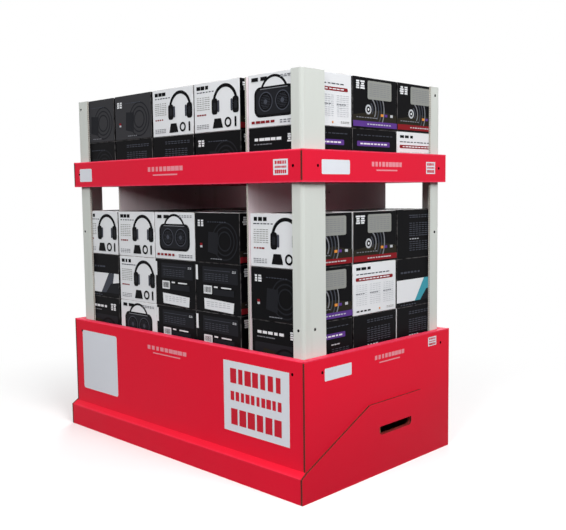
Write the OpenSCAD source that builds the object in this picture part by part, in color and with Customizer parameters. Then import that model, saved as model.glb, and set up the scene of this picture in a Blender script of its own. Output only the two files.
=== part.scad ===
// Stocked pallet display: folded red board around a wooden half pallet, white corner
// posts, a red shelf tray riveted between them, and two tiers of printed cartons.
// Millimetres, +Z up. The origin is on the floor in the middle of the wall sleeve.
// The long front with the kick lip faces -Y. Both ends carry a flap with a hand hole.

/* [Cartons] */
// Width of a carton along the front
carton_w = 191; // [170:0.5:210]
// Depth of a carton from front to back
carton_d = 194; // [170:0.5:215]
// Height of a carton of the lower tier
carton_h = 142; // [120:0.5:160]
// Height of a carton of the upper tier, two of which reach the post tops
upper_carton_h = 137.5; // [120:0.5:160]
// Space between neighbouring cartons of the lower tier
lower_space = 1; // [0.5:0.5:6]
// Space between neighbouring cartons of the upper tier
upper_space = 6; // [0.5:0.5:12]
// Space left over between the dividers once three cartons stand there
slack = 38; // [28:1:60]
// Space between the rows from front to back
row_space = 4; // [3:0.5:8]
// How far single cartons are pushed out of line
stagger = 0.8; // [0:0.1:0.8]
// Height of the gap for reaching in above the lower cartons
reach_gap = 79; // [50:1:110]

/* [Board] */
// Thickness of the corrugated board
board = 6; // [4:0.5:6]
// Play between pieces that slide past one another
play = 1; // [0.9:0.1:1.5]

/* [Rolled walls] */
// Height of the red wall above the floor
wall_h = 363; // [300:1:420]
// Radius of the folded top edge
roll_r = 5; // [2:0.5:6]
// How far the kick lip stands out in front of the wall
lip_out = 19; // [14:1:26]
// Height of the kick lip at its outer edge
lip_h = 67; // [50:1:90]
// Rise of the sloping ledge from the lip to the wall
lip_rise = 12.5; // [6:0.5:20]
// Distance from the wall's top to its rivet holes
wall_rivet_drop = 38; // [25:1:60]

/* [End flap] */
// Height of the level top edge of the end flap
flap_h = 202; // [180:1:240]
// Distance from the front corner to where the level top edge starts
flap_from = 255; // [200:5:280]
// Distance from the front corner to where the level top edge stops
flap_to = 495; // [460:5:520]
// Distance from the rear corner to the rear edge of the end flap
flap_stop = 11; // [0:1:30]
// Width of the hand hole
hand_w = 150; // [110:5:180]
// Height of the hand hole
hand_h = 24; // [20:1:30]
// Height of the middle of the hand hole above the floor
hand_z = 121; // [100:1:130]
// Distance from the front corner to the middle of the hand hole
hand_at = 372; // [340:1:390]

/* [Corner posts] */
// Distance from the outside of the wall to the outside of the post
post_inset = 24; // [22:1:28]
// Radius of the post's outer fold
post_r = 9; // [7:0.5:14]
// Front leg of the posts at the near right and rear left corners
leg_short = 36; // [30:1:44]
// End leg of the posts at the near right and rear left corners
leg_long = 86; // [70:1:94]
// Front leg of the posts at the near left and rear right corners
leg_front = 56; // [40:1:64]
// End leg of the post at the rear right corner
leg_end = 46; // [40:1:60]
// End leg of the post at the near left corner
leg_left = 80; // [40:1:94]
// Diameter of the rivet holes
rivet_d = 8; // [6:0.5:10]
// Height of the spare rivet hole in the near right and rear left posts
rivet_low_z = 434; // [400:1:600]
// Height of the spare rivet hole in the near left and rear right posts
rivet_mid_z = 660; // [500:1:700]
// Distance from the post's top to its highest rivet hole
rivet_top_drop = 25; // [15:1:40]

/* [Shelf tray] */
// Height of the shelf tray's rolled wall
shelf_h = 82; // [70:1:96]
// Distance from the outside of the wall to the outside of the shelf tray
shelf_inset = 10; // [7:0.5:10]

/* [Dividers] */
// Distance from the post tops down to the top of the upper dividers
divider_drop = 4; // [0:1:20]
// Distance from a divider's edge to the long wall
divider_gap = 3; // [1:0.5:6]
// How far the left dividers stop short of the right ones at the front
divider_set = 15; // [0:1:30]
// Length of the tab slit in the middle of a lower divider
slit_w = 58; // [40:1:90]
// Height of the tab slit
slit_h = 4; // [2:0.5:8]
// Board left behind the tab slit
slit_back = 2; // [1:0.5:4]
// Distance from the shelf tray down to the middle of the tab slit
slit_drop = 26; // [20:1:40]

/* [Pallet] */
// Gap between the pallet and the end wall's outer layer
pallet_gap_end = 21; // [10:1:30]
// Gap between the pallet and the long wall's outer layer
pallet_gap_side = 15; // [8:1:24]
// Thickness of the bottom boards
bottom_t = 20; // [15:1:24]
// Height of the stringers
stringer_h = 112; // [90:1:120]
// Thickness of a stringer
stringer_t = 38; // [32:1:45]
// Thickness of the deck boards
deck_t = 22; // [16:1:24]
// Width of a deck board and of a bottom board
plank_w = 100; // [80:1:120]
// Thickness of the pad that covers the pallet deck
pad_t = 8; // [5:1:10]
// Gap all round between the pad and the inside of the outer layer
pad_gap = 6; // [3:1:8]

/* [Hidden] */
$fn = 48;
eps = 0.01;
// Dividers stand one carton in from each end, the posts just outside the end cartons
divider_x = (3 * carton_w + slack + play + board) / 2;
post_x = divider_x + carton_w + 1.5 * board + 2 * play;
post_y = 1.5 * carton_d + row_space + board + 2 * play;
// The walls stand outside the posts, the shelf tray between the two
hw = post_x + post_inset;
hd = post_y + post_inset;
wall_t = post_inset - play;
shelf_x = hw - shelf_inset;
shelf_y = hd - shelf_inset;
shelf_t = post_inset - shelf_inset - play;
divider_y = hd - wall_t - divider_gap;
row_pitch = carton_d + row_space;
// The pallet fits inside the outer layer of the walls
pallet_w = 2 * (hw - board - pallet_gap_end);
pallet_d = 2 * (hd - board - pallet_gap_side);
// Heights of the stacked layers
deck_z = bottom_t + stringer_h;
pad_z = deck_z + deck_t;
floor_z = pad_z + pad_t;
shelf_z = floor_z + 4 * carton_h + reach_gap;
shelf_floor = shelf_z + board;
post_top = shelf_floor + 2 * upper_carton_h;
// Rivet holes lie in the middle of the narrow legs and halfway along the wide ones
rivet_near_x = post_x - leg_short / 2;
rivet_far_x = post_x - leg_front / 3;
rivet_near_y = post_y - leg_long / 2;
rivet_far_y = post_y - leg_end / 2;
wall_rivet_z = wall_h - wall_rivet_drop;
shelf_rivet_z = shelf_z + shelf_h / 2;
post_rivet_top = post_top - rivet_top_drop;

// Outline of a rolled wall seen from its end, outer face at 0 and inside towards +x
module rolled_section(t, h, foot) {
    difference() {
        union() {
            square([t, h - roll_r]);
            translate([roll_r, 0]) square([t - 2 * roll_r, h]);
            translate([roll_r, h - roll_r]) circle(roll_r);
            translate([t - roll_r, h - roll_r]) circle(roll_r);
        }
        translate([board, -eps]) square([t - 2 * board, h - board + eps]);
        translate([board, -eps]) square([t, foot + eps]);
    }
}

// Extrude a section that lies across the front along X
module along_x(x0, x1) {
    translate([x0, 0, 0]) rotate([90, 0, 90]) linear_extrude(x1 - x0) children();
}

// Extrude a section that lies across the ends along Y
module along_y(y0, y1) {
    translate([0, y1, 0]) rotate([90, 0, 0]) linear_extrude(y1 - y0) children();
}

// Rivet hole through a face that looks along Y
module hole_y(x, y, z) {
    translate([x, y, z]) rotate([90, 0, 0]) cylinder(d = rivet_d, h = 3 * post_inset, center = true);
}

// Rivet hole through a face that looks along X
module hole_x(x, y, z) {
    translate([x, y, z]) rotate([0, 90, 0]) cylinder(d = rivet_d, h = 3 * post_inset, center = true);
}

// Kick lip: outer face, sloping ledge and bottom fold of the front wall's sheet
module lip_section() {
    ledge_t = board * sqrt(1 + pow(lip_rise / lip_out, 2));
    difference() {
        polygon([
            [-lip_out, 0],
            [0, 0],
            [0, lip_h + lip_rise],
            [-lip_out, lip_h]
        ]);
        polygon([
            [board - lip_out, board],
            [0, board],
            [0, lip_h + lip_rise - ledge_t],
            [board - lip_out, lip_h + lip_rise * board / lip_out - ledge_t]
        ]);
    }
}

// Plain rolled long wall facing -Y, with its rivet holes
module long_wall() {
    end = hw - board - play;
    difference() {
        translate([0, -hd, 0]) along_x(-end, end) rolled_section(wall_t, wall_h, floor_z);
        hole_y(rivet_near_x, -hd, wall_rivet_z);
        hole_y(-rivet_far_x, -hd, wall_rivet_z);
    }
}

module wall_front() {
    color("#c8202f") union() {
        long_wall();
        translate([0, -hd, 0]) along_x(-hw, hw) lip_section();
    }
}

module wall_back() {
    color("#c8202f") rotate([0, 0, 180]) long_wall();
}

// Outline of the hand hole, flat on top and round below
module hand_outline() {
    r = hand_h / 2;
    translate([-hand_w / 2, 0]) square([hand_w, r]);
    translate([r - hand_w / 2, -r]) square([hand_w - 2 * r, 2 * r]);
    translate([r - hand_w / 2, 0]) circle(r);
    translate([hand_w / 2 - r, 0]) circle(r);
}

// End flap seen from the end: it covers the kick lip's end, then slopes up to a level top
module flap_outline() {
    foot = lip_h + lip_rise;
    polygon([
        [-hd - lip_out, 0],
        [hd - flap_stop, 0],
        [hd - flap_stop, foot],
        [flap_to - hd, flap_h],
        [flap_from - hd, flap_h],
        [-hd, foot],
        [-hd - lip_out, lip_h]
    ]);
}

// End wall with its folded-up flap, facing +X, and rivet holes at two distances from the middle
module end_wall(front_hole, back_hole) {
    inner = hd - wall_t - play;
    difference() {
        union() {
            along_y(-hd, hd) translate([hw - board, 0]) square([board, wall_h]);
            translate([hw, 0, 0]) mirror([1, 0, 0])
                along_y(-inner, inner) rolled_section(wall_t, wall_h, floor_z);
            along_x(hw + play, hw + play + board) flap_outline();
            along_y(-hd, hd - flap_stop) translate([hw - eps, 0]) square([play + 2 * eps, board]);
        }
        translate([hw, hand_at - hd, hand_z]) along_x(-wall_t, wall_t) hand_outline();
        hole_x(hw, -front_hole, wall_rivet_z);
        hole_x(hw, back_hole, wall_rivet_z);
    }
}

module wall_right() {
    color("#b81c2b") end_wall(rivet_near_y, rivet_far_y);
}

module wall_left() {
    color("#b81c2b") mirror([1, 0, 0]) end_wall(rivet_far_y, rivet_near_y);
}

// Folded corner: outer corner at the origin, legs towards -x and +y
module post_section(leg_x, leg_y) {
    translate([-leg_x, 0]) square([leg_x - post_r, board]);
    translate([-board, post_r]) square([board, leg_y - post_r]);
    intersection() {
        difference() {
            translate([-post_r, post_r]) circle(post_r);
            translate([-post_r, post_r]) circle(post_r - board);
        }
        translate([-post_r, 0]) square(post_r);
    }
}

// Corner post beside the near right corner, with a hole in each leg at shelf and wall
module post_a() {
    difference() {
        translate([post_x, -post_y, floor_z])
            linear_extrude(post_top - floor_z) post_section(leg_short, leg_long);
        for (z = [wall_rivet_z, rivet_low_z, shelf_rivet_z]) {
            hole_y(rivet_near_x, -post_y, z);
            hole_x(post_x, -rivet_near_y, z);
        }
    }
}

// Corner post beside the rear right corner
module post_b(leg_y) {
    difference() {
        translate([post_x, post_y, floor_z]) mirror([0, 1, 0])
            linear_extrude(post_top - floor_z) post_section(leg_front, leg_y);
        for (z = [wall_rivet_z, rivet_mid_z, shelf_rivet_z, post_rivet_top]) {
            hole_y(rivet_far_x, post_y, z);
            hole_x(post_x, rivet_far_y, z);
        }
    }
}

module post_front_right() {
    color("#dcdcd4") post_a();
}

module post_back_left() {
    color("#dcdcd4") rotate([0, 0, 180]) post_a();
}

module post_back_right() {
    color("#dcdcd4") post_b(leg_end);
}

module post_front_left() {
    color("#dcdcd4") rotate([0, 0, 180]) post_b(leg_left);
}

// Slots in the shelf floor where two neighbouring posts pass through
module post_slots() {
    g = play;
    for (a = [0, 180]) rotate(a) {
        leg_y = a == 0 ? leg_end : leg_left;
        translate([post_x - leg_short - g, -post_y - g]) square([leg_short + 3 * g, board + 2 * g]);
        translate([post_x - board - g, -post_y - g]) square([board + 3 * g, leg_long + 2 * g]);
        translate([post_x - post_r - g, -post_y - g]) square(post_r + 2 * g);
        translate([post_x - leg_front - g, post_y - board - g]) square([leg_front + 3 * g, board + 2 * g]);
        translate([post_x - board - g, post_y - leg_y - g]) square([board + 3 * g, leg_y + 2 * g]);
        translate([post_x - post_r - g, post_y - post_r - g]) square(post_r + 2 * g);
    }
}

// Rolled long side of the shelf tray, facing -Y
module shelf_long_side() {
    end = shelf_x - board - play;
    translate([0, -shelf_y, shelf_z]) along_x(-end, end) rolled_section(shelf_t, shelf_h, 0);
}

// Rolled end of the shelf tray, facing +X, its outer layer running on to the corner
module shelf_end_side() {
    inner = shelf_y - shelf_t - play;
    translate([0, 0, shelf_z]) {
        along_y(-shelf_y, shelf_y) translate([shelf_x - board, 0]) square([board, shelf_h]);
        translate([shelf_x, 0, 0]) mirror([1, 0, 0])
            along_y(-inner, inner) rolled_section(shelf_t, shelf_h, 0);
    }
}

module shelf_tray() {
    color("#d2243c") difference() {
        union() {
            translate([0, 0, shelf_z]) linear_extrude(board) difference() {
                square([2 * shelf_x, 2 * shelf_y], center = true);
                post_slots();
            }
            for (a = [0, 180]) rotate([0, 0, a]) {
                shelf_long_side();
                shelf_end_side();
            }
        }
        for (a = [0, 180]) rotate([0, 0, a]) {
            hole_y(rivet_near_x, -shelf_y, shelf_rivet_z);
            hole_y(-rivet_far_x, -shelf_y, shelf_rivet_z);
            hole_x(shelf_x, -rivet_near_y, shelf_rivet_z);
            hole_x(shelf_x, rivet_far_y, shelf_rivet_z);
        }
    }
}

// Divider panel from front to back, set back at the front on the left
module divider(x, z0, z1) {
    set = x < 0 ? divider_set : 0;
    translate([x - board / 2, set - divider_y, z0]) cube([board, 2 * divider_y - set, z1 - z0]);
}

// Lower divider with the slit of a closed locking tab in its right face
module slit_divider(x) {
    difference() {
        divider(x, floor_z, shelf_z);
        translate([x + board / 2, 0, shelf_z - slit_drop])
            cube([2 * (board - slit_back), slit_w, slit_h], center = true);
    }
}

module divider_lower_left() {
    color("#e4e4e0") slit_divider(-divider_x);
}

module divider_lower_right() {
    color("#e4e4e0") slit_divider(divider_x);
}

module divider_upper_left() {
    color("#e4e4e0") divider(-divider_x, shelf_floor, post_top - divider_drop);
}

module divider_upper_right() {
    color("#e4e4e0") divider(divider_x, shelf_floor, post_top - divider_drop);
}

// Left edge of a carton in each of the five columns
function column_x(i, space) =
    i == 0 ? -divider_x - board / 2 - play / 2 - carton_w :
    i == 4 ? divider_x + board / 2 + play / 2 :
    -divider_x + board / 2 + play + (i - 1) * (carton_w + space);

// One line of five cartons: row -1 is the front, 0 the middle and 1 the back
module carton_line(z, row, space, h) {
    y = row * row_pitch;
    for (i = [0:4])
        translate([column_x(i, space), y - carton_d / 2 + stagger * sin(137 * i + 61 * row + z), z])
            cube([carton_w, carton_d, h]);
}

module lower_cartons(layer, row) {
    color("#1c1c20") carton_line(floor_z + (layer - 1) * carton_h, row, lower_space, carton_h);
}

module upper_cartons(layer, row) {
    z = shelf_floor + (layer - 1) * upper_carton_h;
    color("#26262a") carton_line(z, row, upper_space, upper_carton_h);
}

module cartons_lower_1_front() {
    lower_cartons(1, -1);
}

module cartons_lower_1_middle() {
    lower_cartons(1, 0);
}

module cartons_lower_1_back() {
    lower_cartons(1, 1);
}

module cartons_lower_2_front() {
    lower_cartons(2, -1);
}

module cartons_lower_2_middle() {
    lower_cartons(2, 0);
}

module cartons_lower_2_back() {
    lower_cartons(2, 1);
}

module cartons_lower_3_front() {
    lower_cartons(3, -1);
}

module cartons_lower_3_middle() {
    lower_cartons(3, 0);
}

module cartons_lower_3_back() {
    lower_cartons(3, 1);
}

module cartons_lower_4_front() {
    lower_cartons(4, -1);
}

module cartons_lower_4_middle() {
    lower_cartons(4, 0);
}

module cartons_lower_4_back() {
    lower_cartons(4, 1);
}

module cartons_upper_1_front() {
    upper_cartons(1, -1);
}

module cartons_upper_1_middle() {
    upper_cartons(1, 0);
}

module cartons_upper_1_back() {
    upper_cartons(1, 1);
}

module cartons_upper_2_front() {
    upper_cartons(2, -1);
}

module cartons_upper_2_middle() {
    upper_cartons(2, 0);
}

module cartons_upper_2_back() {
    upper_cartons(2, 1);
}

// Pad that covers the pallet deck inside the walls
module floor_pad() {
    w = 2 * (hw - board - pad_gap);
    d = 2 * (hd - board - pad_gap);
    color("#a98258") translate([-w / 2, -d / 2, pad_z]) cube([w, d, pad_t]);
}

// Stringer along the pallet with its middle at y
module stringer(y) {
    color("#b8925e") translate([-pallet_w / 2, y - stringer_t / 2, bottom_t])
        cube([pallet_w, stringer_t, stringer_h]);
}

module stringer_front() {
    stringer(stringer_t / 2 - pallet_d / 2);
}

module stringer_middle() {
    stringer(0);
}

module stringer_back() {
    stringer(pallet_d / 2 - stringer_t / 2);
}

// Plank across the pallet, i counted from the left out of n evenly spaced ones
module plank(i, n, z, t) {
    pitch = (pallet_w - plank_w) / (n - 1);
    color("#c39c68") translate([i * pitch - pallet_w / 2, -pallet_d / 2, z]) cube([plank_w, pallet_d, t]);
}

module deck_board_1() {
    plank(0, 7, deck_z, deck_t);
}

module deck_board_2() {
    plank(1, 7, deck_z, deck_t);
}

module deck_board_3() {
    plank(2, 7, deck_z, deck_t);
}

module deck_board_4() {
    plank(3, 7, deck_z, deck_t);
}

module deck_board_5() {
    plank(4, 7, deck_z, deck_t);
}

module deck_board_6() {
    plank(5, 7, deck_z, deck_t);
}

module deck_board_7() {
    plank(6, 7, deck_z, deck_t);
}

module bottom_board_left() {
    plank(0, 3, 0, bottom_t);
}

module bottom_board_middle() {
    plank(1, 3, 0, bottom_t);
}

module bottom_board_right() {
    plank(2, 3, 0, bottom_t);
}

wall_front();
wall_back();
wall_left();
wall_right();
post_front_left();
post_front_right();
post_back_left();
post_back_right();
shelf_tray();
divider_lower_left();
divider_lower_right();
divider_upper_left();
divider_upper_right();
cartons_lower_1_front();
cartons_lower_1_middle();
cartons_lower_1_back();
cartons_lower_2_front();
cartons_lower_2_middle();
cartons_lower_2_back();
cartons_lower_3_front();
cartons_lower_3_middle();
cartons_lower_3_back();
cartons_lower_4_front();
cartons_lower_4_middle();
cartons_lower_4_back();
cartons_upper_1_front();
cartons_upper_1_middle();
cartons_upper_1_back();
cartons_upper_2_front();
cartons_upper_2_middle();
cartons_upper_2_back();
floor_pad();
stringer_front();
stringer_middle();
stringer_back();
deck_board_1();
deck_board_2();
deck_board_3();
deck_board_4();
deck_board_5();
deck_board_6();
deck_board_7();
bottom_board_left();
bottom_board_middle();
bottom_board_right();
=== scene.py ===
"""Looks of a pallet display: red folded board, white posts and two tiers of printed cartons."""

import logging
import math
from dataclasses import dataclass, field
from enum import Enum
from typing import Callable

import bmesh
import bpy
from mathutils import Matrix, Vector


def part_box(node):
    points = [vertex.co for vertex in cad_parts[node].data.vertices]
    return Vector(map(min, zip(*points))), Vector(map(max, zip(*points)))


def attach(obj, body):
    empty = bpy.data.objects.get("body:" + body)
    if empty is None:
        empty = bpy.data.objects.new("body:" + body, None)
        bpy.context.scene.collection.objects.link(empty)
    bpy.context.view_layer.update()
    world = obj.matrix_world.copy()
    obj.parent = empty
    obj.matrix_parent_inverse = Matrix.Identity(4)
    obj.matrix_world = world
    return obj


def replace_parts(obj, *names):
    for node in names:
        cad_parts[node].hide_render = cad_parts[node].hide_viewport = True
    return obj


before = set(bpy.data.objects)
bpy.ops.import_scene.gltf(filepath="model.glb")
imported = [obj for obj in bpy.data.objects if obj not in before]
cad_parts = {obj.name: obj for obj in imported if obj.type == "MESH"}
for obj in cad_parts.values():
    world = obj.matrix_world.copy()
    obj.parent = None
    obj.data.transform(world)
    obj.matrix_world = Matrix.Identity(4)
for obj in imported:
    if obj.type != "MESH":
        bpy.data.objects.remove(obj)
log = logging.getLogger("pallet_display")

BODY = "root"

Colour = tuple[float, float, float, float]
Place = tuple[float, float, float, float]
Point = tuple[float, float]
Value = bpy.types.NodeSocket | float | tuple[float, ...]

# Sizes are in metres, as in the frame
BOARD = 0.006
LAYER_GAP = 0.001
FLUTE_PITCH = 0.0062
FLUTE_RELIEF = 0.00004
# A little over the radius of a rivet hole
RIVET_REACH = 0.0045
INK_LIFT = 0.00015
INK_LAYER = 0.00008
MERGE_REACH = 1e-6

WHITE: Colour = (1.0, 1.0, 1.0, 1.0)
# Painted shade: near-black paint on the walls of the rivet holes, where shade falls
HOLE_PAINTED_SHADE: Colour = (0.006, 0.0045, 0.004, 1.0)
# Part of a normal from which a face counts as looking that way
FACING = 0.5


def srgb(red: int, green: int, blue: int) -> Colour:
    """Turns a colour as a screen shows it into the linear colour that shaders take.

    Args:
        red: Red, 0 to 255.
        green: Green, 0 to 255.
        blue: Blue, 0 to 255.

    Returns:
        The linear colour with full alpha.
    """
    shares = [value / 255 for value in (red, green, blue)]
    linear = [share / 12.92 if share <= 0.04045 else ((share + 0.055) / 1.055) ** 2.4 for share in shares]
    return (linear[0], linear[1], linear[2], 1.0)


class Slot(Enum):
    """Material slots of the part's record."""

    RED = "red_board"
    CARTON = "carton_print"


class Ink(Enum):
    """Printing inks and papers, as they look on a screen."""

    PAPER = (220, 222, 225)
    PATCH = (218, 221, 228)
    SILVER = (184, 187, 192)
    ASH = (140, 142, 138)
    GREY = (122, 124, 130)
    SLATE = (66, 69, 78)
    SOOT = (54, 54, 57)
    CHARCOAL = (31, 32, 36)
    BLACK = (14, 14, 16)
    RED = (196, 38, 54)
    CRIMSON = (128, 30, 36)
    PURPLE = (88, 56, 132)
    TEAL = (66, 148, 164)
    AMBER = (214, 138, 62)
    OLIVE = (38, 35, 28)
    BLUSH = (226, 142, 152)

    @property
    def linear(self) -> Colour:
        """The ink's linear colour."""
        return srgb(*self.value)


class Wiring:
    """Adds nodes to one tree and wires them, so that a finish reads as a list of steps."""

    # Places of the colour sockets on a Mix node, whose names aren't unique
    MIX_FIRST = 6
    MIX_SECOND = 7
    MIX_RESULT = 2

    def __init__(self, tree: bpy.types.NodeTree) -> None:
        """Keeps the tree that the nodes go into."""
        self.tree = tree

    def node(self, kind: str, **settings: object) -> bpy.types.Node:
        """Adds a node and sets its properties.

        Args:
            kind: The node's type name.
            **settings: Properties to set on it.

        Returns:
            The new node.
        """
        made = self.tree.nodes.new(kind)
        for key, value in settings.items():
            setattr(made, key, value)
        return made

    def feed(self, socket: bpy.types.NodeSocket, value: Value) -> None:
        """Wires a socket to another, or sets it where the value is a plain number or colour.

        Args:
            socket: The socket that takes the value.
            value: Another socket, a number or a colour.
        """
        if isinstance(value, bpy.types.NodeSocket):
            self.tree.links.new(value, socket)
        else:
            socket.default_value = value

    def math(self, operation: str, first: Value, second: Value = 0.0) -> bpy.types.NodeSocket:
        """One step of arithmetic on two values.

        Args:
            operation: The Math node's operation.
            first: The first value.
            second: The second value, where the operation takes one.

        Returns:
            The result.
        """
        made = self.node("ShaderNodeMath", operation=operation)
        self.feed(made.inputs[0], first)
        self.feed(made.inputs[1], second)
        return made.outputs[0]

    def step(self, value: Value, low: float, high: float) -> bpy.types.NodeSocket:
        """A smooth rise from 0 to 1, or a fall where low is the larger one.

        Args:
            value: What the result follows.
            low: The value at which the result is 0.
            high: The value at which the result is 1.

        Returns:
            The result.
        """
        made = self.node("ShaderNodeMapRange", interpolation_type="SMOOTHSTEP")
        turned = low > high
        self.feed(made.inputs["Value"], value)
        self.feed(made.inputs["From Min"], high if turned else low)
        self.feed(made.inputs["From Max"], low if turned else high)
        self.feed(made.inputs["To Min"], 1.0 if turned else 0.0)
        self.feed(made.inputs["To Max"], 0.0 if turned else 1.0)
        return made.outputs["Result"]

    def blend(self, share: Value, first: Value, second: Value) -> bpy.types.NodeSocket:
        """A colour between two others.

        Args:
            share: How much of the second colour there is.
            first: The first colour.
            second: The second colour.

        Returns:
            The mixed colour.
        """
        made = self.node("ShaderNodeMix", data_type="RGBA")
        self.feed(made.inputs[0], share)
        self.feed(made.inputs[self.MIX_FIRST], first)
        self.feed(made.inputs[self.MIX_SECOND], second)
        return made.outputs[self.MIX_RESULT]

    def shade(self, colour: Value, value: Value) -> bpy.types.NodeSocket:
        """A colour made lighter or darker.

        Args:
            colour: The colour.
            value: What it is multiplied by, around 1.

        Returns:
            The new colour.
        """
        made = self.node("ShaderNodeVectorMath", operation="SCALE")
        self.feed(made.inputs[0], colour if isinstance(colour, bpy.types.NodeSocket) else colour[:3])
        self.feed(made.inputs["Scale"], value)
        return made.outputs[0]

    def noise(self, place: Value, scale: Value, detail: float = 2.0) -> bpy.types.NodeSocket:
        """Soft noise between 0 and 1.

        Args:
            place: Coordinates.
            scale: How fine the noise is.
            detail: How many finer layers it has.

        Returns:
            The noise.
        """
        made = self.node("ShaderNodeTexNoise")
        self.feed(made.inputs["Vector"], place)
        self.feed(made.inputs["Scale"], scale)
        self.feed(made.inputs["Detail"], detail)
        return made.outputs[0]

    def stretch(self, place: Value, scale: tuple[float, float, float]) -> bpy.types.NodeSocket:
        """Coordinates scaled by axis, for a pattern with a direction.

        Args:
            place: Coordinates.
            scale: One factor for each axis.

        Returns:
            The scaled coordinates.
        """
        made = self.node("ShaderNodeMapping")
        self.feed(made.inputs["Vector"], place)
        self.feed(made.inputs["Scale"], scale)
        return made.outputs[0]

    def split(self, vector: Value) -> list[bpy.types.NodeSocket]:
        """The three parts of a vector.

        Args:
            vector: The vector.

        Returns:
            Its parts along X, Y and Z.
        """
        made = self.node("ShaderNodeSeparateXYZ")
        self.feed(made.inputs[0], vector)
        return list(made.outputs)

    def bump(self, height: Value, distance: float, strength: float = 1.0) -> bpy.types.NodeSocket:
        """A normal that follows a height.

        Args:
            height: The height, 0 to 1.
            distance: What a height of 1 stands for, in metres.
            strength: How much of the relief shows.

        Returns:
            The normal.
        """
        made = self.node("ShaderNodeBump")
        self.feed(made.inputs["Height"], height)
        self.feed(made.inputs["Distance"], distance)
        self.feed(made.inputs["Strength"], strength)
        return made.outputs[0]

    def group(self, tree: bpy.types.NodeTree, **values: Value) -> bpy.types.NodeOutputs:
        """Places a shared node group with its own values.

        Args:
            tree: The group.
            **values: What its inputs get, by name.

        Returns:
            The group's outputs.
        """
        made = self.node("ShaderNodeGroup", node_tree=tree)
        for name, value in values.items():
            self.feed(made.inputs[name], value)
        return made.outputs


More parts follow.
